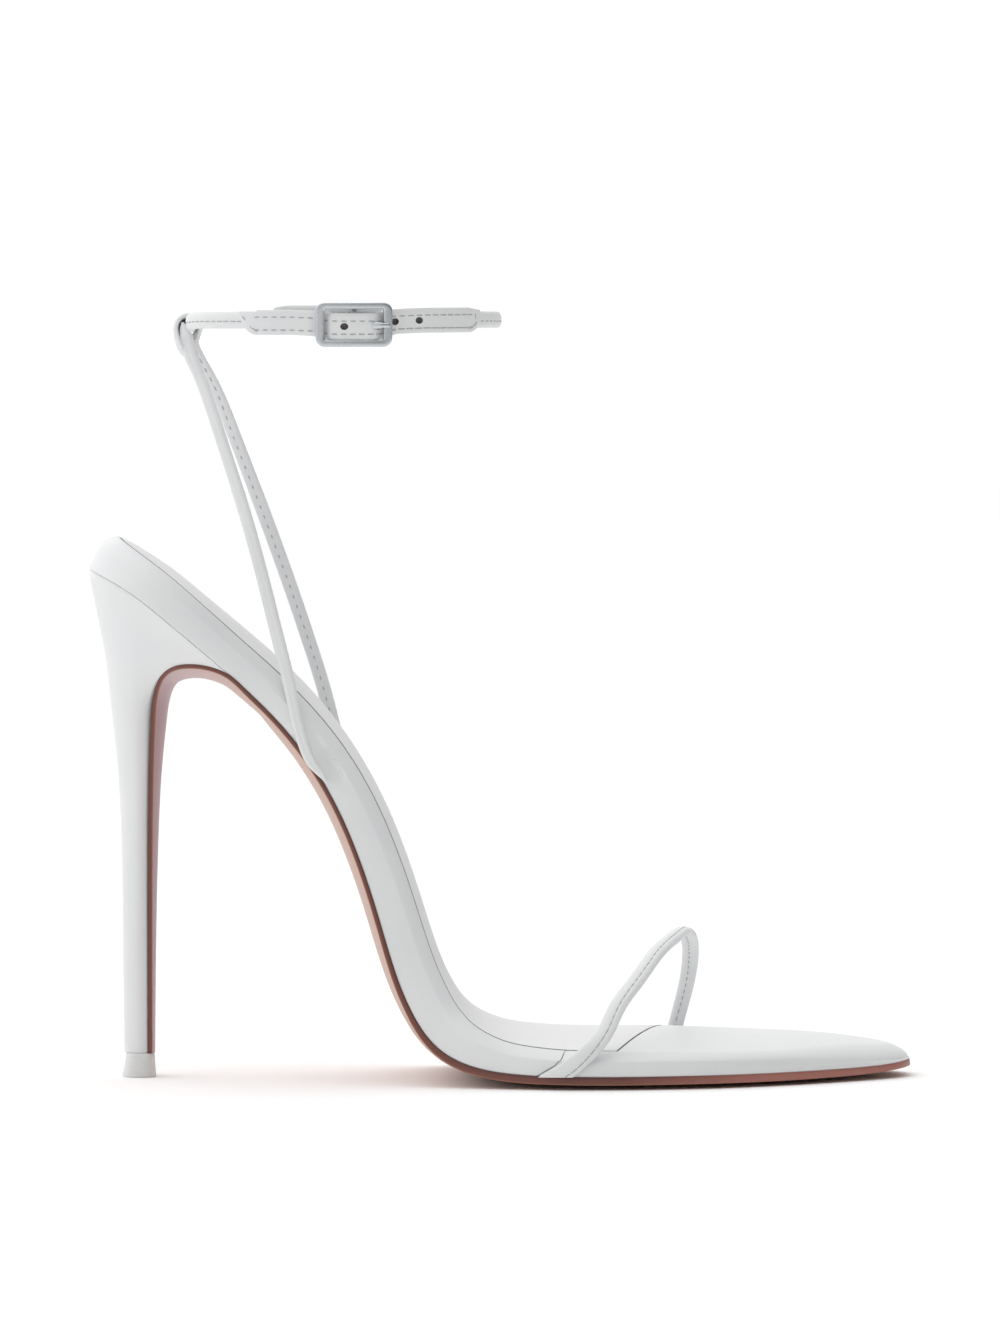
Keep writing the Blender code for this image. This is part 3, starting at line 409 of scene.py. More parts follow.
footbed = {
    "lean": 0.3,            # of the wall, inwards at its top
    "swell": 0.18,          # of the wall, outwards at its middle
    "feather": 0.2,         # rounding where the wall turns under
    "edgeDome": 0.18,       # share of the dome's height reached at the end of the shoulder
    "toeReach": 28.0,
    "power": (1.2, 1.75),   # of the shoulder's curve, at heel and toe: 2 is an ellipse, 1 a straight bevel
    "powerEase": (75.0, 20.0),   # it changes between these lengths before the toe
    "wallSteps": 15,
    "shoulderSteps": 12,
    "rim": [(0.22, 0.0), (0.4, 0.03), (0.52, 0.1), (0.64, 0.26)],   # past the shoulder, drop to the seam
    "rimEase": (-6.0, -2.5),     # the drop ends between these lengths before the sock's front
    "rootEase": (0.84, 1.0),     # the straps' roots end between these shares of the wall
    "featherTurns": (20, 50, 80),
    "topShares": (0.05, 0.15, 0.3, 0.5, 0.75, 1.0),
    "underShares": (1.0, 0.66, 0.33, 0.08),
    "recessDepth": 1.2,
    "recessOpen": 2.0,
    "sharp": 30,
}
sock = {
    "front": (190.2, 0.2, 0.0013),   # front edge: along = a + b y - c y y
    "inset": 0.9,           # from the end of the shoulder to the sock's edge
    "seam": 0.3,            # width of the open seam around it
    "thick": 0.9,
    "proud": 0.08,          # its top stands this far over the footbed's
    "roundEdge": 0.2,
    "frontHalf": 33.0,
    "fan": 25.0,            # its front rings run in to a point this far behind the front edge
    "frontSteps": 40, "frontGap": 0.8,
    "edgeTurns": (0, 30, 55, 75, 90),
    "topShares": (0.05, 0.15, 0.35, 0.6, 1.0),
}

spine = makePath([row[:2] for row in sole["rows"]])
soleColumns = smoothColumns(spine["knots"], sole["rows"], sole["names"], sole["blur"])
stretch = spine["length"] / sole["outline"][-1][0]
ring = [(row[0] * stretch, row[1]) for row in sole["outline"]]
ring += [(row[0] * stretch, row[2]) for row in reversed(sole["outline"][:-1])]
outlineCurve = makePath(ring)["points"]
tip = int(np.argmax(outlineCurve[:, 0]))
sides = {-1: outlineCurve[:tip + 1], 1: outlineCurve[tip:][::-1]}


def sideY(side, along):
    return np.interp(along, np.maximum.accumulate(sides[side][:, 0]), sides[side][:, 1])


def middleY(along):
    return (sideY(-1, along) + sideY(1, along)) / 2


def onPath(path, along, y, height):
    point, slope = pathPoint(path, along), pathPoint(path, along, "slopes")
    x, z = point[..., 0] - slope[..., 1] * height, point[..., 1] + slope[..., 0] * height
    return np.stack([x, y + 0 * x, z], axis=-1)


def soleAlongs():
    turns = np.linspace(0.0, math.pi / 2, sole["roundSteps"] + 1)
    heelPart = sole["heelCentre"] * (1 - np.cos(turns))
    toePart = spine["length"] - sole["toeCentre"] * (1 - np.cos(turns))[::-1]
    body = np.linspace(heelPart[-1], toePart[0], sole["bodySteps"] + 1)
    return np.concatenate([heelPart, body[1:-1], toePart])


def edgeLoop(place, middle):
    reach = np.linalg.norm(middle - place, axis=1)
    return {"place": place, "middle": middle, "reach": reach, "safe": np.maximum(reach, 1e-6)}


def inset(edges, distance):
    share = np.minimum(1.0, distance / edges["safe"])
    return edges["place"] + (edges["middle"] - edges["place"]) * share[:, None], share


def footbedEdges(alongs, side):
    middle = np.clip(alongs, sole["heelCentre"], spine["length"] - sole["toeCentre"])
    return edgeLoop(np.stack([alongs, sideY(side, alongs)], 1), np.stack([middle, middleY(middle)], 1))


def bothSides(alongs, sideEdges):
    lateral, medial = sideEdges(alongs, -1), sideEdges(alongs, 1)
    return edgeLoop(*(np.concatenate([lateral[key], medial[key][-2:0:-1]]) for key in ("place", "middle")))


def bulge(share):
    return 1 - (1 - share) ** 2


def shoulderEnd(along):
    return footbed["lean"] + column("shoulder", along)


def domeHeight(along, y):
    # The dome over the whole top, measured from its height at the end of the shoulder
    def part(distance, reach):
        return bulge(clamp(distance / np.maximum(1e-6, reach)))

    middle = middleY(along)
    edge = np.where(y < middle, sideY(-1, along), sideY(1, along))
    dome = part(np.abs(edge - y), np.abs(edge - middle))
    dome = dome * part(along, sole["heelCentre"]) * part(spine["length"] - along, footbed["toeReach"])
    return column("crown", along) * (dome - footbed["edgeDome"])


def topHeight(along, y):
    return column("thick", along) + domeHeight(along, y)


# Footbed: leather-wrapped board with a bevelled shoulder and a recess for the sock

# The wrap swells over the straps' roots: their front edge as x by z, swell, hollow, where it ends
strapRoots = [
    {"z": (71.4, 73.3, 76.1, 81.2, 86.3, 92.0), "x": (-40.3, -41.8, -43.1, -44.8, -45.6, -46.9),
     "swell": 0.8, "behind": 9.0, "hollow": 1.2, "end": -39.2, "after": 7.0},
    {"z": (2.0, 3.7, 6.4, 9.0), "x": (14.8, 17.4, 20.7, 23.4),
     "swell": 0.22, "behind": 4.0, "hollow": 0.0, "end": 28.0, "after": 1.0},
]
rootFade = {"least": 3.0, "below": 4.0, "above": 3.0, "outside": -5.0}   # only on the outer side
toeSlit = {  # the wrap's slit beside the toe strap's root
    "rise": (-0.1, 0.0, 0.72, 1.1, 2.0, 4.0),   # share of the wall, from 1 of the shoulder, from 2 mm on top
    "beforeToe": (87.4, 86.8, 82.7, 81.6, 80.3, 79.8),
    "width": 0.3, "depth": 1.0, "steps": 36, "step": 0.4,
}
plainShape = {"square": 3.0, "sides": 12, "valley": 0.0, "valleyWidth": 1.0, "seamAt": 0.0}


def rootHeight(points, root):
    x, z = points[:, 0], points[:, 2]
    front = np.interp(z, root["z"], root["x"])
    share = clamp((x - front) / np.maximum(rootFade["least"], root["end"] - front))
    ahead = blend(root["swell"], -root["hollow"], share)
    ahead = ahead * (1 - ease(x, root["end"], root["end"] + root["after"]))
    swell = np.where(x < front, root["swell"] * ease(x, front - root["behind"], front), ahead)
    low, high, above = root["z"][0], root["z"][-1], rootFade["above"]
    swell = swell * ease(z, low - rootFade["below"], low) * (1 - ease(z, high - above, high + above))
    return swell * (points[:, 1] < rootFade["outside"])


def shoulderCurve(turn, along):
    # Shares of the shoulder's way inwards and of its rise
    low, high = (spine["length"] - before for before in footbed["powerEase"])
    power = 2 / blend(*footbed["power"], ease(along, low, high))
    return 1 - max(0.0, math.cos(turn)) ** power, math.sin(turn) ** power


def wallPoint(along, rise):
    # Point of the outer wall, its shoulder or the top, by the slit's rise
    run, lift = shoulderCurve(math.pi / 2 * min(1.0, max(0.0, rise - 1)), along)
    wall, thick = column("wall", along), column("thick", along)
    height = (wall - footbed["edgeDome"] * column("crown", along)) * min(rise, 1.0) + (thick - wall) * lift
    y = sideY(-1, along) + footbed["lean"] * min(rise, 1.0) + column("shoulder", along) * run
    y = y + max(0.0, rise - 2)
    return onPath(spine, along, y, topHeight(along, y) if rise > 2 else height)


def slitCutter():
    rows = []
    for rise in np.linspace(toeSlit["rise"][0], toeSlit["rise"][-1], toeSlit["steps"]):
        point = wallPoint(spine["length"] - np.interp(rise, toeSlit["rise"], toeSlit["beforeToe"]), rise)
        lean = min(1.0, max(0.0, rise - 1))
        rows.append((*point, 0.0, lean - 1, lean, toeSlit["width"], toeSlit["depth"]))
    return sweepStrap("slitCutter", strapFrames(rows, toeSlit["step"]), plainShape, upperLeather)


def makeFootbed():
    edges = bothSides(soleAlongs(), footbedEdges)
    outer = edges["place"][:, 0]
    lean, feather = footbed["lean"], footbed["feather"]
    rings = []

    def addRing(distance, heightOf):
        place, share = inset(edges, distance)
        along, y = place.T
        rings.append(onPath(spine, along, y, heightOf(along, y, share)))

    for share in footbed["underShares"]:
        addRing(edges["reach"] * share, lambda along, y, share: -column("belly", along) * bulge(share))
    for turn in np.radians(footbed["featherTurns"]):
        addRing(feather * (1 - np.sin(turn)), lambda along, y, share: feather * (1 - np.cos(turn)))
    for rise in np.linspace(0.0, 1.0, footbed["wallSteps"])[1:]:
        def wallHeight(along, y, share):
            return feather + (column("wall", along) + domeHeight(along, y) - feather) * rise

        addRing(lean * rise - footbed["swell"] * math.sin(math.pi * rise), wallHeight)
        for root in strapRoots:
            rings[-1][:, 1] -= rootHeight(rings[-1], root) * (1 - ease(rise, *footbed["rootEase"]))
    for turn in np.linspace(0.0, math.pi / 2, footbed["shoulderSteps"] + 1)[1:]:
        run, rise = shoulderCurve(turn, outer)

        def shoulderHeight(along, y, share):
            return column("wall", along) * (1 - rise) + column("thick", along) * rise + domeHeight(along, y)

        addRing(lean + column("shoulder", outer) * run, shoulderHeight)
    for past, drop in footbed["rim"]:
        def rimHeight(along, y, share):
            return topHeight(along, y) - drop * (1 - ease(along - sockFront(y), *footbed["rimEase"]))

        addRing(shoulderEnd(outer) + past, rimHeight)
    start = shoulderEnd(outer) + footbed["rim"][-1][0]
    inwards = np.maximum(0.0, edges["reach"] - start)
    for topShare in footbed["topShares"]:
        addRing(start + inwards * topShare, lambda along, y, share: topHeight(along, y))
    piece = makePiece("footbedWrap", *skin(rings), upperLeather)
    low, high = -footbed["recessDepth"], footbed["recessOpen"]
    # The recess's cut walls take the grey edge colour: the leather's core plus painted shade of the open seam
    cutters = [sockSheet("recessCutter", sock["seam"], low, high, 0.0, cutEdgeAndSeamShade), slitCutter()]
    return cutOut(piece, cutters, footbed["sharp"])


# Sock: inset sheet from the heel to a slanting front edge under the toe strap

def sockFront(y):
    middleLine, slant, bow = sock["front"]
    return middleLine + slant * y - bow * y * y


def sockEdges(grow):
    middleLine, heelCentre = sock["front"][0], sole["heelCentre"]
    front, inner = middleLine + grow, middleLine - sock["fan"]
    alongs = soleAlongs()
    alongs = np.append(alongs[alongs < middleLine - sock["frontGap"]], front)
    sideMiddle = np.clip(alongs, heelCentre, inner)
    sideMiddle = np.stack([sideMiddle, middleY(sideMiddle)], 1)
    lean = np.clip((alongs - heelCentre) / (middleLine - heelCentre), 0.0, None)
    places = []
    for side in (-1, 1):
        sideAlong = alongs * (1 + (sockFront(side * sock["frontHalf"]) / middleLine - 1) * lean)
        places.append(inset(footbedEdges(sideAlong, side), shoulderEnd(sideAlong) + sock["inset"] - grow)[0])
    lateral, medial = places
    steps = np.linspace(0.0, 1.0, sock["frontSteps"])[1:-1, None]
    frontRow = lateral[-1] * (1 - steps) + medial[-1] * steps
    frontRow[:, 0] += 4 * (steps * (1 - steps))[:, 0] * (front - (lateral[-1][0] + medial[-1][0]) / 2)
    centre = np.repeat([[inner, middleY(inner)]], len(frontRow), 0)
    return edgeLoop(np.concatenate([lateral, frontRow, medial[:0:-1]]),
                    np.concatenate([sideMiddle, centre, sideMiddle[:0:-1]]))


def sockSheet(name, grow, bottom, top, roundEdge, side, face=None):
    edges = sockEdges(grow)
    profile = [(share, 0.0, bottom) for share in (1.0, 0.5, 0.0)]
    for turn in np.radians(sock["edgeTurns"] if roundEdge else (90,)):
        profile.append((0.0, roundEdge * (1 - math.cos(turn)), top - roundEdge * (1 - math.sin(turn))))
    sideRings = len(profile) - 3
    profile += [(share, roundEdge, top) for share in sock["topShares"]]
    rings = []
    for share, distance, height in profile:
        along, y = inset(edges, distance + (edges["reach"] - distance) * share)[0].T
        rings.append(onPath(spine, along, y, topHeight(along, y) + height))
    verts, faces = skin(rings)
    marks = [int(k // len(rings[0]) >= sideRings) for k in range(len(faces))] if face else None
    return makePiece(name, verts, faces, side, 35, face, marks)


# Heel: slim, covered in the same leather, with a thin seam under the footbed

heel = {
    "names": ("frontX", "frontZ", "backX", "backZ", "half", "belly", "square"),
    "rows": [  # from the tip to the seat: edge of the breast, back line, half width, bulge of the breast
        (-81.6, 5.65, -87.2, 5.65, 4.2, 0.6, 2), (-81.6, 30, -87.45, 30, 4.6, 0.85, 2),
        (-81.5, 56, -87.85, 57, 5.6, 1.35, 2), (-81.2, 72, -88.9, 75, 7, 1.9, 2.1),
        (-80.7, 83, -90.2, 87, 9.2, 2.5, 2.3), (-79.6, 90.4, -91.1, 95.5, 12.2, 2.8, 2.4),
        (-77.7, 94, -92.1, 101.5, 15, 3, 2.6), (-75, 95.8, -93.1, 106.5, 17.4, 3.1, 2.8),
        (-71.5, 96.4, -94, 111, 19.6, 3, 3), (-68, 96.2, -94.8, 115.2, 21.4, 2.9, 3.2),
    ],
    "lip": 41.4,            # its top reaches this far under the footbed, from the back
    "insetTop": 0.22,
    "seamRound": [(0.0, 0.28), (0.05, 0.1), (0.24, 0.0)],   # groove under the footbed: way inwards, depth
    "tuck": 0.24,           # the sides turn in by this share before the breast
    "tuckDepth": 0.5,
    "tuckRows": (4, 7),     # it ends between these rows
    "flapShares": (0.86, 0.86, 0.87, 0.88, 0.9, 0.93, 0.96, 1.0, 1.0, 1.0),   # of the half width, the flap's
    "rings": 90,
    "sideSteps": 26,
    "frontSteps": 10,
    "sharp": 50,
}
under = {
    "join": 41.0,           # from here to the toe the outsole lies on the footbed
    "step": 6.0, "lastStep": 3.0, "joinGap": 0.4,   # the least from knot to toe tip, and from join to ring
    "proud": 0.2,
    "flapThick": 1.0,
    "flapSteps": 90,
    "edge": [  # burnished: way inwards, share of the thickness, ink from 1 at the upper to 0.5 at the tread
        (0.06, 0.0, 1.0), (0.0, 0.06, 1.0), (-0.05, 0.3, 0.9), (-0.06, 0.55, 0.85), (-0.04, 0.78, 0.8),
        (0.0, 0.88, 0.5), (0.08, 0.98, 0.5), (0.24, 1.0, 0.5), (0.28, 1.0, 0.0),
    ],
    "bellyEase": (4.0, 12.0),
    "middleEase": 30.0,
    "shares": (0.06, 0.15, 0.3, 0.5, 0.75, 1.0),
}

alongKnots = np.arange(under["join"], spine["length"] - under["lastStep"], under["step"])
alongKnots = np.append(alongKnots, spine["length"])
underPath = makePath([row[:2] for row in heel["rows"]] + list(pathPoint(spine, alongKnots)))
flapKnots = underPath["knots"][:len(heel["rows"])]
soleKnots = underPath["knots"][len(heel["rows"]):]
heelTable = np.array(heel["rows"])


def heelColumn(name, length):
    values = heelTable[:, heel["names"].index(name)]
    return naturalCubic(flapKnots, values, np.clip(length, 0.0, flapKnots[-1]))


def makeHeel():
    shares = np.sin(np.linspace(0.0, math.pi / 2, heel["sideSteps"] + 1))
    sideOf, shareOf = np.array([(-1, share) for share in shares] + [(1, share) for share in shares[-2::-1]]).T
    across = np.linspace(1.0, -1.0, heel["frontSteps"] + 1)[1:-1]
    rings = []
    for length in np.linspace(0.0, flapKnots[-1], heel["rings"]):
        backX, backZ, half, belly, square = (heelColumn(name, length) for name in heel["names"][2:])
        tuck = heel["tuck"] * (1 - ease(length, *flapKnots[list(heel["tuckRows"])]))
        turnIn = 1 - tuck * np.clip(1 - shareOf / heel["tuckDepth"], 0.0, None) ** 2
        x, z = pathPoint(underPath, length)
        y = sideOf * half * turnIn * np.sqrt(np.clip(1 - shareOf ** square, 0.0, None))
        body = np.stack([x + (backX - x) * shareOf, y, z + (backZ - z) * shareOf], 1)
        front = onPath(underPath, length + 0 * across, across * half * (1 - tuck), -belly * (1 - across ** 2))
        rings.append(np.concatenate([body, front]))
    neck, lip = rings[-1], heel["lip"]
    for more, drop in heel["seamRound"]:
        along = lip * (1 - shareOf)
        insetBy = heel["insetTop"] + more
        edge = np.where(sideOf < 0, sideY(-1, along), sideY(1, along))
        edge -= sideOf * np.minimum(np.abs(edge), insetBy)
        lipY = np.where(across > 0, sideY(1, lip), sideY(-1, lip)) * np.abs(across)
        seat = np.concatenate([onPath(spine, along + insetBy * shareOf, edge, -drop),
                               onPath(spine, lip + 0 * across, lipY, -drop)])
        rings += [seat] if more else [(neck + seat) / 2, seat]
    verts, faces = skin(rings, closeStart=True)
    first, steps, last = len(verts) - len(seat), heel["sideSteps"], 2 * heel["sideSteps"]
    for k in range(1, steps - 1):
        faces.append((first + k, first + k + 1, first + last - k - 1, first + last - k))
    faces.append((first + steps - 1, first + steps, first + steps + 1))
    faces.append((first + last - 1, first + last, *range(first + last + 1, len(verts)), first, first + 1))
    return makePiece("heelCover", verts, faces, upperLeather, heel["sharp"])


def makeTopPiece():
    lobeX, lobeY = lobe(around(topPiece["sides"]), topPiece["square"])
    rings = []
    for z, back, front, half in topPiece["rows"]:
        x = (back + front) / 2 + (front - back) / 2 * lobeX
        rings.append(np.stack([x, half * lobeY, z + 0 * x], 1))
    return tube("heelTopPiece", rings, tipRubber)


# Outsole: thin leather, down the breast of the heel as a flap

def underColumn(name, length):
    def onSole(at):
        return column(name, np.interp(at, soleKnots, alongKnots))

    if name == "sole":
        return np.where(length >= soleKnots[0], onSole(length), under["flapThick"])
    before, after = under["bellyEase"]
    start, end = soleKnots[0] - before, np.interp(under["join"] + after, alongKnots, soleKnots)
    flap, tread = heelColumn(name, np.minimum(length, start)), onSole(np.maximum(length, end))
    return blend(flap, tread, ease(length, start, end))


def makeOutsole():
    join, proud = soleKnots[0], under["proud"]
    flapLengths = np.linspace(0.0, join, under["flapSteps"])
    alongs = soleAlongs()
    alongs = alongs[alongs > under["join"] + under["joinGap"]]
    lengths = np.interp(alongs, alongKnots, soleKnots)
    middleAlong = np.minimum(alongs, spine["length"] - sole["toeCentre"])
    fade = clamp((alongs - under["join"]) / under["middleEase"])
    soleMiddle = np.stack([np.interp(middleAlong, alongKnots, soleKnots), middleY(middleAlong) * fade], 1)
    middle = np.concatenate([np.stack([flapLengths, 0 * flapLengths], 1), soleMiddle])
    places = []
    for side in (-1, 1):
        half = np.append(heelTable[:, 4] * heel["flapShares"], abs(sideY(side, under["join"])) + proud)
        flapHalf = naturalCubic(np.append(flapKnots, join), half, flapLengths)
        soleEdge = edgeLoop(np.stack([lengths, sideY(side, alongs)], 1), soleMiddle)
        flap = np.stack([flapLengths, side * flapHalf], 1)
        places.append(np.concatenate([flap, inset(soleEdge, -proud)[0]]))
    first = np.zeros((1, 2))
    edges = edgeLoop(np.concatenate([first, places[0], places[1][-2::-1]]),
                     np.concatenate([first, middle, middle[-2::-1]]))
    rings, rims = [], []

    def addRing(distance, depth, rim):
        place, share = inset(edges, distance)
        along, y = place.T
        belly = underColumn("belly", along) * bulge(clamp(share))
        points = onPath(underPath, along, y, -belly - underColumn("sole", along) * depth)
        points[:, 2] = np.maximum(points[:, 2], 0.0)
        rings.append(points)
        rims.extend([rim] * len(points))

    for share in under["shares"][::-1]:
        addRing(edges["reach"] * share, 0.0, 1.0)
    for distance, depth, rim in under["edge"]:
        addRing(distance, depth, rim)
    last = under["edge"][-1][0]
    for share in under["shares"]:
        addRing(last + (edges["reach"] - last).clip(0.0) * share, 1.0, 0.0)
    verts, faces = skin(rings)
    piece = makePiece("soleLeather", verts, faces, soleLeather)
    keepRim(piece, verts, rims)
    return piece


def keepRim(piece, verts, rims):
    # Merging moved the points about, so each takes the value of the nearest one it was made from
    tree = kdtree.KDTree(len(verts))
    for i, point in enumerate((np.asarray(verts) + shift) * mm):
        tree.insert(point, i)
    tree.balance()
    rim = piece.data.attributes.new("rim", "FLOAT", "POINT")
    rim.data.foreach_set("value", [rims[tree.find(vert.co)[1]] for vert in piece.data.vertices])


# Straps: rolled leather, swept along their middle lines

strapAxes = "middle", "side", "face"
strapEnd = {
    "rings": ((0.9, 0.55), (0.62, 1.0)),   # size, way out
    "round": 0.35,                         # way out of the last ring, as a share of the thickness
}


def seamPlace(frames, shape):
    return np.broadcast_to(frames.get("seamAt", shape["seamAt"]), frames["width"].shape)


def strapSection(frames, shape):
    # Across and out of the strap, around its section, with a valley where it is stitched
    across, out = lobe(around(shape["sides"]) + math.pi / shape["sides"], shape["square"])
    fromSeam = (across[None] - seamPlace(frames, shape)[:, None]) / shape["valleyWidth"]
    valley = np.sign(out) * shape["valley"] * np.exp(-fromSeam ** 2)
    return np.outer(frames["width"] / 2, across), np.outer(frames["thick"] / 2, out) - valley


def strapFrames(rows, step):
    table = np.array(rows, float)
    path = makePath(table[:, :3])
    lengths = np.linspace(0.0, path["length"], max(4, int(path["length"] / step) + 1))
    along = unit(pathPoint(path, lengths, "slopes"))
    face = np.stack([naturalCubic(path["knots"], values, lengths) for values in table[:, 3:6].T], 1)
    face = unit(face - along * (face * along).sum(1)[:, None])
    frames = {"length": lengths, "middle": pathPoint(path, lengths),
              "face": face, "side": np.cross(along, face)}
    # Widths and thicknesses run straight between rows, a little softened
    sizes = smoothColumns(path["knots"], table[:, 6:8], ("width", "thick"), max(2.0, 4 * step))
    for name in ("width", "thick"):
        frames[name] = np.interp(lengths, sizes["grid"], sizes[name])
    return frames


def sweepStrap(name, frames, shape, material):
    across, out = strapSection(frames, shape)
    middle, side, face = (frames[key][:, None] for key in strapAxes)
    rings = list(middle + side * across[..., None] + face * out[..., None])
    for end, near in ((0, 1), (-1, -2)):   # rounded ends
        centre = rings[end].mean(0)
        step = unit(centre - rings[near].mean(0)) * strapEnd["round"] * frames["thick"][end]
        cap = [centre + (rings[end] - centre) * size + step * push for size, push in strapEnd["rings"]]
        rings = rings + cap if end else cap[::-1] + rings
    return tube(name, rings, material)


def seamLine(frames, shape, sign, start, end):
    use = (frames["length"] >= start) & (frames["length"] <= frames["length"][-1] - end)
    middle, side, face, width, thick = (frames[key][use] for key in strapAxes + ("width", "thick"))
    across, square = seamPlace(frames, shape)[use], shape["square"]
    height = (1 - np.abs(across) ** square) ** (1 / square) * thick / 2 - shape["valley"]
    return middle + side * (across * width / 2)[:, None] + face * (sign * height)[:, None], face * sign


# Stitches: a thread every pitch along a seam, lying in its needle holes

stitchSizes = "Pitch", "Length", "Width", "Height", "Lift"
fineStitch = {"pitch": 2.0, "length": 1.4, "width": 0.28, "height": 0.26, "lift": 0.03,
              "holeLength": 0.28, "holeWidth": 0.32, "holeHeight": 0.12, "sharp": 60}
tabStitch = dict(fineStitch, pitch=2.05, length=1.45, width=0.32, height=0.3, holeLength=0.36, holeWidth=0.4)
legStitch = dict(fineStitch, pitch=2.5, length=1.1, width=0.36)


def stitchTree():
    tree = bpy.data.node_groups.new("seamStitches", "GeometryNodeTree")
    sockets = [("Seam", "Geometry")] + [(name, "Float") for name in stitchSizes] + [("Thread", "Material")]
    for name, kind in sockets:
        tree.interface.new_socket(name, in_out="INPUT", socket_type="NodeSocket" + kind)
    tree.interface.new_socket("Stitches", in_out="OUTPUT", socket_type="NodeSocketGeometry")
    given = addNode(tree, "NodeGroupInput").outputs
    line = result(tree, "GeometryNodeMeshToCurve", {"Mesh": given["Seam"]})
    marks = result(tree, "GeometryNodeResampleCurve",
                   {"Curve": line, "Length": given["Pitch"]}, mode="LENGTH")
    tangent = result(tree, "GeometryNodeInputTangent")
    outward = addNode(tree, "GeometryNodeInputNamedAttribute", {"Name": "outward"}, data_type="FLOAT_VECTOR")
    turned = result(tree, "FunctionNodeAlignRotationToVector", {"Vector": tangent}, axis="X")
    faced = result(tree, "FunctionNodeAlignRotationToVector",
                   {"Rotation": turned, "Vector": outward.outputs["Attribute"]}, axis="Z", pivot_axis="X")
    bead = result(tree, "GeometryNodeMeshUVSphere", {"Segments": 10, "Rings": 6, "Radius": 0.5})
    size = result(tree, "ShaderNodeCombineXYZ", dict(zip("XYZ", (given[name] for name in stitchSizes[1:4]))))
    raised = result(tree, "ShaderNodeCombineXYZ", {"Z": given["Lift"]})
    stitch = result(tree, "GeometryNodeTransform", {"Geometry": bead, "Translation": raised, "Scale": size})
    placed = result(tree, "GeometryNodeInstanceOnPoints",
                    {"Points": marks, "Instance": stitch, "Rotation": faced})
    real = result(tree, "GeometryNodeRealizeInstances", {"Geometry": placed})
    done = result(tree, "GeometryNodeSetMaterial", {"Geometry": real, "Material": given["Thread"]})
    addNode(tree, "NodeGroupOutput", {"Stitches": done})
    return tree


seamStitches = stitchTree()


def runStitches(name, seams, sizes, material):
    verts, normals, edges = [], [], []
    for points, outward in seams:
        edges += [(len(verts) + i, len(verts) + i + 1) for i in range(len(points) - 1)]
        verts += list((points + shift) * mm)
        normals += list(outward)
    mesh = bpy.data.meshes.new(name + "Guide")
    mesh.from_pydata(verts, edges, [])
    mesh.attributes.new("outward", "FLOAT_VECTOR", "POINT").data.foreach_set("vector", np.ravel(normals))
    guide = addObject(name + "Guide", mesh)
    modifier = guide.modifiers.new("stitches", "NODES")
    modifier.node_group = seamStitches
    items = seamStitches.interface.items_tree
    sockets = {item.name: item.identifier for item in items if item.in_out == "INPUT"}
    for key, value in zip(stitchSizes, sizes):
        modifier[sockets[key]] = value * mm
    modifier[sockets["Thread"]] = material
    made = evaluated(guide)
    if not made.materials:
        made.materials.append(material)
    bpy.data.objects.remove(guide)
    return meshObject(name, made, fineStitch["sharp"])


def offsetSeam(seam, distance):
    run = runLength(seam[0])
    at = np.linspace(distance, run[-1], len(run))
    return [between(at, run, part) for part in seam]


def sewSeams(name, seams, size):
    sizes = [size[key.lower()] for key in stitchSizes]
    putOn(runStitches(name, seams, sizes, threadFibre), "white_leather")
    pitch, length = sizes[:2]
    # Dark marks at both ends of each stitch: painted shade of the needle holes
    holes = [offsetSeam(seam, length / 2 + past) for seam in seams for past in (0.0, pitch - length)]
    sizes = pitch, size["holeLength"], size["holeWidth"], size["holeHeight"], 0.0
    putOn(runStitches(name.replace("Stitches", "NeedleShadeMarks"), holes, sizes, needleHoleShade), "white_leather")


# Toe strap: over the toes from the outer edge of the sole to the inner one

toeStrap = {
    "rows": [  # middle line, the way the outer face looks, width, thickness
        (6.5, -39.5, -0.8, 0, -1, 0, 4.2, 1), (9.5, -39.6, 1.1, 0, -1, 0, 4.2, 1),
        (13.3, -39.8, 3.4, 0, -1, 0, 4.2, 1.1), (16.25, -39.95, 5.3, 0, -1, 0.05, 4.2, 1.3),
        (19.3, -39.6, 7.9, 0, -1, 0.15, 4.1, 1.7), (21.95, -38.7, 10.5, -0.1, -0.9, 0.3, 4, 2.1),
        (24.2, -37.2, 13.6, -0.15, -0.85, 0.4, 3.9, 2.3), (26.4, -34.6, 18, -0.2, -0.8, 0.5, 4, 2.4),
        (31, -28.6, 24, -0.2, -0.65, 0.7, 4, 2.4), (35.6, -20.4, 29.6, -0.1, -0.45, 0.9, 4, 2.4),
        (39.8, -8, 32.5, 0, -0.15, 1, 4, 2.4), (42.8, 8, 33, 0, 0.15, 1, 4, 2.4),
        (44.4, 20, 30.2, 0.1, 0.55, 0.85, 4, 2.4), (44.7, 29, 24.6, 0.1, 0.85, 0.5, 3.9, 2.4),
        (43.7, 35, 17.6, 0, 0.97, 0.2, 3.7, 2.3), (42.1, 38.6, 11, 0, 1, 0.1, 3.6, 1.9),
        (41.2, 39.1, 7.2, 0, 1, 0, 3.7, 1.4), (40.3, 38.9, 3, 0, 1, 0, 3.9, 1.1),
        (39.9, 38.7, 0.9, 0, 1, 0, 3.9, 1),
    ],
    "shape": {"square": 2.3, "sides": 40, "valley": 0.12, "valleyWidth": 0.15, "seamAt": 0.3},
    "seamRoot": (0.48, 9.0, 22.0),    # the seam lies nearer the edge at the outer root, over these lengths
    "seamFar": (-0.1, 70.0, 95.0),
    "step": 0.6,
    "seamEnds": (9.4, 3.2),           # it starts and stops this far from the ends
    "cut": [(0.0, 60.0), (-60.0, 60.0), (-20.0, 3.03)],   # box that ends both roots on the sole's edge
}


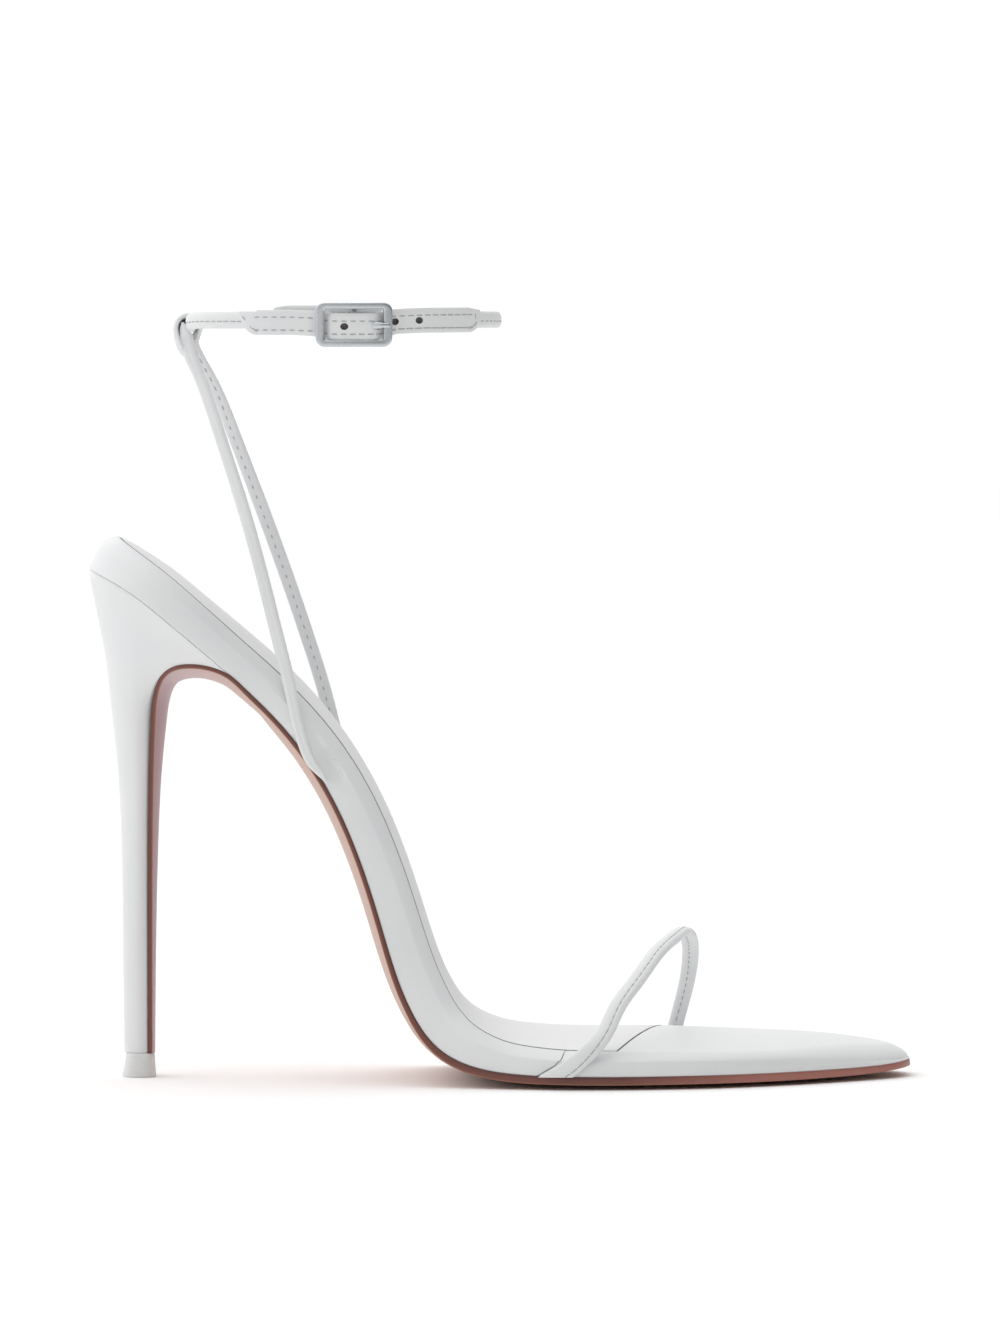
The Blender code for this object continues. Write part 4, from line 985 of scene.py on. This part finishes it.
def trimBox(rangeX, rangeY, rangeZ):
    corners = [(x, y, z) for x in rangeX for y in rangeY for z in rangeZ]
    faces = [(0, 1, 3, 2), (4, 6, 7, 5), (0, 4, 5, 1), (2, 3, 7, 6), (0, 2, 6, 4), (1, 5, 7, 3)]
    return makePiece("trimBox", corners, faces, upperLeather)


def makeToeStrap():
    frames, shape = strapFrames(toeStrap["rows"], toeStrap["step"]), toeStrap["shape"]
    root, *ends = toeStrap["seamRoot"]
    seamAt = blend(root, shape["seamAt"], ease(frames["length"], *ends))
    far, *ends = toeStrap["seamFar"]
    frames["seamAt"] = blend(seamAt, far, ease(frames["length"], *ends))
    seams = [seamLine(frames, shape, sign, *toeStrap["seamEnds"]) for sign in (1, -1)]
    sewSeams("toeStrapStitches", seams, fineStitch)
    strap = sweepStrap("toeStrapLeather", frames, shape, upperLeather)
    return cutOut(strap, [trimBox(*toeStrap["cut"])])


# Back strap: up from the outer side, over the ankle strap as a loop, down to the inner side

backStrap = {
    "near": [  # outer leg, from its pointed root to its rounded end inside the loop
        (-40, -22, 69.6, 0, -1, 0, 0.6, 0.8), (-41.2, -22.2, 71.4, 0, -1, 0, 1.6, 1),
        (-43.1, -22.3, 73.6, 0, -1, 0, 2.1, 1.1), (-44.4, -22.4, 76.2, 0, -1, 0, 2.4, 1.2),
        (-46, -22.5, 81.2, 0, -1, 0, 2.5, 1.4), (-47.2, -22.5, 86.4, 0, -1, 0, 2.7, 1.6),
        (-48.4, -22.3, 92.4, 0, -1, 0, 2.9, 1.9), (-50.3, -21.4, 100, -0.1, -1, 0, 3, 2),
        (-54.5, -18.4, 116.4, -0.1, -1, 0, 2.9, 2), (-59.3, -14, 133, -0.2, -1, 0, 2.9, 2),
        (-64.7, -8.7, 149.2, -0.4, -0.9, 0, 2.9, 2), (-67.9, -5.6, 158.4, -0.4, -0.9, 0, 2.8, 2),
        (-70, -4, 163.6, -0.3, -0.95, 0, 2.8, 1.9), (-71.5, -2.9, 167.2, -0.2, -1, 0, 3.2, 1.8),
        (-72.1, -2.3, 169.2, -0.2, -1, 0, 3.5, 1.7), (-72.5, -1.9, 171, -0.2, -1, 0, 3.3, 1.7),
        (-72.85, -1.6, 172.6, -0.2, -1, 0, 2.6, 1.6), (-73.1, -1.5, 173.6, -0.2, -1, 0, 2, 1.4),
        (-73.25, -1.5, 174.2, -0.2, -1, 0, 1.2, 1.1), (-73.3, -1.5, 174.5, -0.2, -1, 0, 0.5, 0.8),
    ],
    "loop": [  # pointed end sewn to the outer leg, over the ankle strap, down to the inner side
        (-72.6, -2.4, 166.9, -0.95, -0.3, 0, 1, 0.8), (-73.6, -1.9, 168.4, -0.95, -0.3, 0, 2.8, 1.2),
        (-74.45, -1.4, 170.4, -1, -0.2, 0, 3.2, 1.3), (-74.95, -1, 172.9, -1, 0, 0, 3.2, 1.3),
        (-74.75, -0.6, 174.5, -0.95, 0, 0.3, 3.2, 1.3), (-74.1, -0.4, 175.6, -0.7, 0, 0.7, 3.2, 1.3),
        (-73.1, -0.1, 176.2, -0.35, 0, 0.95, 3.2, 1.3), (-71.8, 0.2, 176.45, 0, 0, 1, 3.2, 1.3),
        (-70.5, 0.5, 176.1, 0.45, 0, 0.9, 3.2, 1.3), (-69.6, 0.8, 175, 0.9, 0, 0.5, 3.2, 1.3),
        (-69.55, 1.1, 173, 1, 0.1, 0, 3.2, 1.3), (-70.4, 1.4, 171.6, 0.9, 0.45, 0, 3.1, 1.4),
        (-70.9, 1.7, 170.2, 0.7, 0.7, 0, 3.1, 1.5), (-70.1, 2.3, 167.2, 0.5, 0.85, 0, 3.1, 1.7),
        (-68.1, 3.8, 163.5, 0.5, 0.85, 0, 3.1, 1.9), (-66.3, 5.2, 159.9, 0.4, 0.9, 0, 3.1, 1.9),
        (-62.1, 8.4, 149.4, 0.3, 0.95, 0, 3.2, 2), (-55.8, 13, 132.4, 0.2, 1, 0, 3.3, 2),
        (-49.8, 16.8, 115.6, 0.1, 1, 0, 3.3, 2), (-44.2, 19.6, 98.8, 0, 1, 0, 3.3, 2),
        (-41.6, 19.9, 90.4, 0, 1, 0, 3.3, 1.9), (-38.9, 19.6, 80, 0, 1, 0, 3.4, 1.5),
        (-36.7, 19.2, 70.6, 0, 1, 0, 3.6, 1.1),
    ],
    "shape": {"square": 2.3, "sides": 36, "valley": 0.16, "valleyWidth": 0.16, "seamAt": 0.0},
    "step": 0.5,
    "seamTop": (0.35, 26.0, 46.0),   # the inner leg's seam starts nearer its front edge
    "seamEnds": [(24.0, 6.0), (17.5, 4.0)],
    "foldAndShadePlug": [(0.65, 2.6, 0.5, loopShadeFibre), (1.2, 2.8, 0.8, upperLeather)],   # in the loop: the dark one in front is painted shade, a raw end where only shade falls; behind it the white folded end
    "foldX": -73.05, "foldZ": (171.5, 173.0, 174.5, 175.9),
}


def makeBackStrap():
    shape, step = backStrap["shape"], backStrap["step"]
    legs = [strapFrames(backStrap[key], step) for key in ("near", "loop")]
    top, *ends = backStrap["seamTop"]
    legs[1]["seamAt"] = blend(top, 0.0, ease(legs[1]["length"], *ends))
    seams = [seamLine(leg, shape, -1, *ends) for leg, ends in zip(legs, backStrap["seamEnds"])]
    sewSeams("backStrapStitches", seams, legStitch)
    pieces = [sweepStrap("strapLeg", leg, shape, upperLeather) for leg in legs]
    for y, width, thick, material in backStrap["foldAndShadePlug"]:
        rows = [(backStrap["foldX"], y, z, 0.0, 1.0, 0.0, width, thick) for z in backStrap["foldZ"]]
        pieces.append(sweepStrap("foldedEndAndShadePlug", strapFrames(rows, step), dict(shape, valley=0.0), material))
    return joinPieces("backStrapLeather", pieces)


# Ankle strap: a loop with a rolled part and two flat tabs, fastened in the buckle

ankle = {
    "centreX": -37.0, "halfLength": 36.2, "halfWidth": 29.5, "z": 175.5, "buckleX": -33.5,
    "keeper": (-55.3, 8.5, -1.9, -0.8),   # where the loop holds it: length, spread, pulled in, pulled down
    "rolled": [  # length from the buckle, distance out, lift, width, thickness
        (-15, 0, -0.2, 4.4, 1.3), (-18.2, 0, -0.2, 3.9, 2.2), (-22, 0, -0.2, 3.9, 2.4),
        (-120, 0, -0.2, 3.9, 2.4),
    ],
    "rolledFront": [
        (40, 0, -0.1, 3.9, 2.4), (34, 0, -0.1, 3.9, 2.2), (30.5, 0.1, -0.2, 4.2, 1.2),
        (27, 0.2, -0.3, 4.6, 0.9),
    ],
    "hidden": [
        (6.2, 0, 0.2, 5.8, 1.3), (-15.8, 0, 0.25, 5.8, 1.3), (-17.4, 0, 0.6, 5, 1.3),
        (-18.4, 0, 1, 3.4, 1.2),
    ],
    "holed": [
        (32.4, 0.9, 1.1, 2.4, 1.2), (31.2, 0.95, 0.5, 4.2, 1.3), (29.4, 1, -0.2, 5.8, 1.3),
        (16, 1.4, -0.3, 5.8, 1.3), (9.2, 1.45, -0.6, 5.8, 1.3), (7.6, 1.45, -1, 6, 1.3),
        (6.4, 1.45, -1.5, 6.5, 1.3), (5.8, 1.5, -1.55, 6.5, 1.3), (5, 3.1, -1.7, 6.3, 1.3),
        (3.2, 3.35, -1.75, 6.3, 1.3), (0, 3.35, -1.75, 6.2, 1.3), (-3.2, 3.35, -1.75, 6.3, 1.3),
        (-5, 3.1, -1.7, 6.3, 1.3), (-5.8, 1.5, -1.55, 6.5, 1.3), (-6.4, 1.5, -1.5, 6.5, 1.3),
        (-7.6, 1.6, -1.2, 6, 1.3), (-9.2, 1.7, -1, 5.8, 1.3), (-14, 1.8, -0.8, 5.8, 1.3),
        (-18, 2.3, -0.8, 5.8, 1.3), (-22.2, 2.3, -0.8, 5.8, 1.3), (-24, 2.3, 0.3, 3.4, 1.3),
        (-25.7, 2.2, 1.3, 1, 1.1),
    ],
    "holes": (14.6, 9.0, 4.8, -2.2),
    "holeSize": 1.75, "holeFlat": 0.85, "holeSides": 24,
    "holeRings": [(0.9, -0.5), (1.0, 0.45), (1.25, 1.2)],   # share of the size, distance out
    "rowsAt": (1.2, -1.75),
    "rollEnds": (3.5, 6.5), "holedEnds": (28.8, -21.4), "hiddenEnds": (5.6, -15.6),   # of the stitches
    "endRows": [  # stitches around the holed tab's ends: its lift there, then length and height, upwards
        (-0.2, [(28.6, -1.75), (29.9, -1.1), (30.7, 0.0), (30.6, 0.9)]),
        (-0.8, [(-21.6, -1.75), (-23.0, -0.5), (-24.2, 0.9)]),
    ],
    "endSteps": 24,
    "sunk": 0.04,             # the tabs' stitches lie this deep
    "tabShape": dict(plainShape, square=4.5, sides=40),
    "rollShape": {"square": 2.3, "sides": 36, "valley": 0.1, "valleyWidth": 0.16, "seamAt": -0.18},
    "step": 0.4,
    "soften": 7,              # steps
    "turns": 6000,
}


def loopTable():
    first = math.acos((ankle["buckleX"] - ankle["centreX"]) / ankle["halfLength"])
    turns = np.linspace(0.0, 2 * math.pi, ankle["turns"]) - first
    x = ankle["centreX"] + ankle["halfLength"] * np.cos(turns)
    y = ankle["halfWidth"] * np.sin(turns)
    return runLength(np.stack([x, y], 1)), x, y


upward = np.array([0.0, 0.0, 1.0])
loopRun, loopX, loopY = loopTable()
loopLength = loopRun[-1]


def loopFrame(along):
    at = np.mod(along, loopLength)
    x, y = np.interp(at, loopRun, loopX), np.interp(at, loopRun, loopY)
    normalX, normalY = (x - ankle["centreX"]) / ankle["halfLength"] ** 2, y / ankle["halfWidth"] ** 2
    return np.stack([x, y, ankle["z"] + 0 * x], -1), unit(np.stack([normalX, normalY, 0 * x], -1))


def onLoop(along, out, up):
    base, normal = loopFrame(along)
    return base + normal * out[:, None] + upward * up[:, None]


def loopFace(along, middle, up):
    # Out of a strap that runs round the ankle
    face = np.cross(unit(np.gradient(middle, axis=0)), up)
    return face * np.sign((face * loopFrame(along)[1]).sum(1))[:, None]


def loopStrap(rows):
    table = np.array(rows, float)
    travel = np.abs(table[:, 0] - table[0, 0])
    at = np.linspace(0.0, travel[-1], int(travel[-1] / ankle["step"]) + 1)
    along, out, lift, width, thick = (np.interp(at, travel, values) for values in table.T)
    window = np.hanning(ankle["soften"])
    window, edge = window / window.sum(), len(window) // 2
    out, lift, width = (np.convolve(np.pad(values, edge, mode="edge"), window, mode="valid")
                        for values in (out, lift, width))
    centre, spread, pulledIn, pulledDown = ankle["keeper"]
    held = np.exp(-((along - centre) / spread) ** 2)
    middle = onLoop(along, out + pulledIn * held, lift + pulledDown * held)
    step = unit(np.gradient(middle, axis=0))
    up = unit(upward - step * step[:, 2:3])
    return {"length": at, "along": along, "middle": middle, "face": loopFace(along, middle, up), "side": up,
            "width": width, "thick": thick}


def tabSeams(frames, high, low):
    pick = (frames["along"] <= high) & (frames["along"] >= low)
    face = frames["face"][pick]
    flat = frames["middle"][pick] + face * (frames["thick"][pick] / 2 - ankle["sunk"])[:, None]
    return [(flat + frames["side"][pick] * row, face) for row in ankle["rowsAt"]]


def endSeam(frames, lift, marks):
    # Stitches round a tab's end, by length along the strap and height over the tab's straight part
    share, knots = np.linspace(0.0, 1.0, ankle["endSteps"]), np.linspace(0.0, 1.0, len(marks))
    along, up = (naturalCubic(knots, values, share) for values in np.array(marks).T)
    order = np.argsort(frames["along"])
    middle, side, face = (between(along, frames["along"][order], frames[key][order]) for key in strapAxes)
    up = up + lift - (middle[:, 2] - ankle["z"])
    return middle + side * up[:, None] + face * (ankle["holed"][3][4] / 2 - ankle["sunk"]), face


def makeAnkleStrap():
    rollShape, tabShape = ankle["rollShape"], ankle["tabShape"]
    front = [(row[0] - loopLength,) + row[1:] for row in ankle["rolledFront"]]
    rolled = loopStrap(ankle["rolled"] + front)
    hidden, holed = (loopStrap(ankle[key]) for key in ("hidden", "holed"))
    sewSeams("rolledStrapStitches", [seamLine(rolled, rollShape, 1, *ankle["rollEnds"])], fineStitch)
    seams = tabSeams(holed, *ankle["holedEnds"]) + tabSeams(hidden, *ankle["hiddenEnds"])
    seams += [endSeam(holed, *row) for row in ankle["endRows"]]
    sewSeams("ankleStrapStitches", seams, tabStitch)
    tab = sweepStrap("holedTab", holed, tabShape, upperLeather)
    pieces = [cutOut(tab, [holeCutter(holed, along) for along in ankle["holes"]]),
              sweepStrap("rolledStrap", rolled, rollShape, upperLeather),
              sweepStrap("hiddenTab", hidden, tabShape, upperLeather)]
    return joinPieces("ankleStrapLeather", pieces)


def holeCutter(frames, along):
    at = int(np.argmin(np.abs(frames["along"] - along)))
    turn = around(ankle["holeSides"])[:, None]
    middle, up, face = (frames[key][at] for key in strapAxes)
    circle = up * np.sin(turn) * ankle["holeFlat"] + np.cross(up, face) * np.cos(turn)
    circle = circle * ankle["holeSize"] / 2
    # The cut stops short of the back; its walls and bottom are dark, raw cut leather plus painted shade of
    # the hole
    rings = [middle + circle * size + face * out for size, out in ankle["holeRings"]]
    return tube("holeCutter", rings, punchedFibreAndShade)


# Buckle: bevelled rectangular frame that follows the ankle, with its bar behind the strap

buckle = {
    "length": 16.2, "sideBar": 1.2, "height": 10.2, "corner": 2.0, "leastCorner": 0.5,
    "bar": 1.55, "bevel": 0.42, "bevelSteps": 6, "innerBevel": 0.75, "boxBevel": 0.12,
    "outLow": 2.7, "outHigh": 4.3, "lift": -1.3, "cornerSteps": 10, "sideSteps": 16,
    "barHalf": 0.6, "barLow": 1.0, "barHigh": 2.1, "post": 1.2, "gap": 0.3, "backRound": 0.3, "sharp": 50,
    "prong": (4.0, 7.1), "prongLift": -1.5, "prongWidth": 1.9, "prongThick": 1.1, "prongOut": (3.5, 4.95),
    "prongSteps": 28, "prongRise": 1.6, "prongTaper": 0.4, "taperEnd": 0.7,
}


def roundedRectangle(length, height, corner):
    points = []
    for quarter, (signX, signZ) in enumerate(((1, 1), (-1, 1), (-1, -1), (1, -1))):
        x, z = signX * (length / 2 - corner), signZ * (height / 2 - corner)
        for k in range(buckle["cornerSteps"] + 1):
            turn = (quarter + k / buckle["cornerSteps"]) * math.pi / 2
            points.append((x + corner * math.cos(turn), z + corner * math.sin(turn)))
        if quarter in (0, 2):   # the long rails bend with the ankle, so they have points along them
            steps = np.linspace(points[-1][0], -x, buckle["sideSteps"] + 1)[1:-1]
            points += [(step, signZ * height / 2) for step in steps]
    return np.array(points)


def loopBox(name, half, outLow, outHigh, upLow, upHigh):
    rings, bevel = [], buckle["boxBevel"]
    for along, size in ((-half, bevel), (bevel - half, 0.0), (half - bevel, 0.0), (half, bevel)):
        a, b, c, d = outLow + size, outHigh - size, upLow + size, upHigh - size
        corners = [(a, c + bevel), (a + bevel, c), (b - bevel, c), (b, c + bevel),
                   (b, d - bevel), (b - bevel, d), (a + bevel, d), (a, d - bevel)]
        rings.append(onLoop(np.full(8, along), *np.array(corners).T))
    return tube(name, rings, satinNickel)


def makeBuckleFrame():
    b = buckle
    bar, bevel, lift, gap, back = b["bar"], b["bevel"], b["lift"], b["gap"], b["backRound"]
    turns = np.radians(np.linspace(0, 90, b["bevelSteps"]))
    outer = [(bevel * (1 - math.cos(turn)), b["outHigh"] - bevel * (1 - math.sin(turn))) for turn in turns]
    inner = [(bar - across * b["innerBevel"], out) for across, out in outer[::-1]]
    profile = [(0.0, b["outLow"] + back)] + outer + inner
    profile += [(bar, b["outLow"] + back), (bar - back, b["outLow"]), (back, b["outLow"])]
    rings = []
    for insetBy, out in profile + profile[:1]:
        x, z = roundedRectangle(b["length"] - 2 * insetBy * b["sideBar"], b["height"] - 2 * insetBy,
                                max(b["leastCorner"], b["corner"] - insetBy)).T
        rings.append(onLoop(x, out + 0 * x, lift + z))
    ends, rail = b["height"] / 2 - bevel, b["height"] / 2 - bar
    pieces = [makePiece("frameRing", *skin(rings), satinNickel, b["sharp"]),
              loopBox("frameBar", b["barHalf"], b["barLow"], b["barHigh"], lift - ends, lift + ends)]
    wide, inside, outside = b["post"] / 2 + gap, b["barLow"] + gap, b["outLow"] + bar / 2
    for low, high in ((-ends, -rail - gap), (rail + gap, ends)):
        pieces.append(loopBox("framePost", wide, inside, outside, lift + low, lift + high))
    return joinPieces("buckleFrameMetal", pieces, b["sharp"])


def makeProng():
    b = buckle
    share = np.linspace(0.0, 1.0, b["prongSteps"])
    along = np.linspace(*b["prong"], b["prongSteps"])
    out = blend(*b["prongOut"], np.sin(np.minimum(1.0, share * b["prongRise"]) * math.pi / 2))
    middle = onLoop(along, out, b["prongLift"] + 0 * share)
    up = np.tile(upward, (len(share), 1))
    taper = 1 - b["prongTaper"] * ease(share, 0.0, b["taperEnd"])
    frames = {"middle": middle, "face": loopFace(along, middle, up), "side": up,
              "width": b["prongWidth"] * taper, "thick": b["prongThick"] * taper}
    return sweepStrap("buckleProngMetal", frames, dict(plainShape, square=2.4, sides=24), satinNickel)


putOn(makeFootbed(), "white_leather", "footbed")
# The sock's rim is grey: its cut core plus painted shade of the seam around it
putOn(sockSheet("insoleSock", 0.0, -sock["thick"], sock["proud"], sock["roundEdge"], cutEdgeAndSeamShade, liningLeather),
      "lining_leather", "insole_sock")
putOn(makeHeel(), "white_leather", "heel")
putOn(makeTopPiece(), "top_piece", "top_piece")
putOn(makeOutsole(), "sole_leather", "outsole")
putOn(makeToeStrap(), "white_leather", "toe_strap")
putOn(makeBackStrap(), "white_leather", "back_strap")
putOn(makeAnkleStrap(), "white_leather", "ankle_strap")
putOn(makeBuckleFrame(), "satin_metal", "buckle_frame")
putOn(makeProng(), "satin_metal", "buckle_prong")


# Studio: pale floor, soft light from above and from the left, camera level with the ankle

studio = {
    "floorHalf": 8.0,
    "camera": (0.0, -2000.0, 170.0),
    "aim": (0.0, 0.0, 95.11),
    "lens": 233.28, "sensor": 36.0, "farthest": 50.0,
    "lights": [  # name, place, target, size, power in watts
        ("overheadSoftbox", (-0.15, 0.05, 1.3), (0.0, 0.0, 0.0), 0.9, 1.6),
        ("leftSoftbox", (-1.4, 0.2, 0.7), (0.0, 0.0, 0.08), 0.9, 1.2),
    ],
    # Light of the sky, added up: axis, from and to these shares of it, these strengths
    "sky": [("Y", 0.0, 1.0, 0.5, 1.14), ("X", 1.0, -1.0, -0.46, 0.38), ("Z", 0.4, 0.95, 0.0, 0.78)],
}


def makeStudio():
    half = studio["floorHalf"]
    mesh = bpy.data.meshes.new("studioFloor")
    corners = [(x * half, y * half, 0) for x, y in ((-1, -1), (1, -1), (1, 1), (-1, 1))]
    mesh.from_pydata(corners, [], [(0, 1, 2, 3)])
    # Matt white paper
    paper = newMaterial("studioPaper", Roughness=0.9, Base_Color=linear("#ffffff"))[0]
    mesh.materials.append(paper)
    floor = meshObject("studioFloor", mesh)
    for name, place, target, size, power in studio["lights"]:
        light = bpy.data.lights.new(name, "AREA")
        light.shape, light.size, light.energy = "SQUARE", size, power
        aimedObject(name, light, place, target)
    world = bpy.data.worlds.new("studioSky")
    bpy.context.scene.world = world
    world.use_nodes = True
    tree = world.node_tree
    sky = tree.nodes["Background"]
    look = addNode(tree, "ShaderNodeTexCoord").outputs["Generated"]
    parts = addNode(tree, "ShaderNodeSeparateXYZ", {"Vector": look}).outputs
    # Brighter behind the shoe, on its left and above, so the side to the camera stays a shade darker
    total = None
    for axis, low, high, start, end in studio["sky"]:
        part = mapRange(tree, parts[axis], low, high, start, end)
        total = result(tree, "ShaderNodeMath", {0: total, 1: part}, operation="ADD") if total else part
    tree.links.new(total, sky.inputs["Strength"])
    sky.inputs["Color"].default_value = (1.0, 1.0, 1.0, 1.0)


def aimedObject(name, data, place, target):
    made = addObject(name, data)
    made.location = place
    made.rotation_euler = (Vector(target) - Vector(place)).to_track_quat("-Z", "Y").to_euler()
    return made


def makeCamera():
    lens = bpy.data.cameras.new("photoCamera")
    lens.lens, lens.sensor_width, lens.clip_end = (studio[key] for key in ("lens", "sensor", "farthest"))
    place, aim = ((np.array(studio[key]) + shift) * mm for key in ("camera", "aim"))
    bpy.context.scene.camera = aimedObject("photoCamera", lens, place, aim)
    bpy.context.scene.view_settings.view_transform = "Standard"


makeStudio()
makeCamera()
print("studio ready")
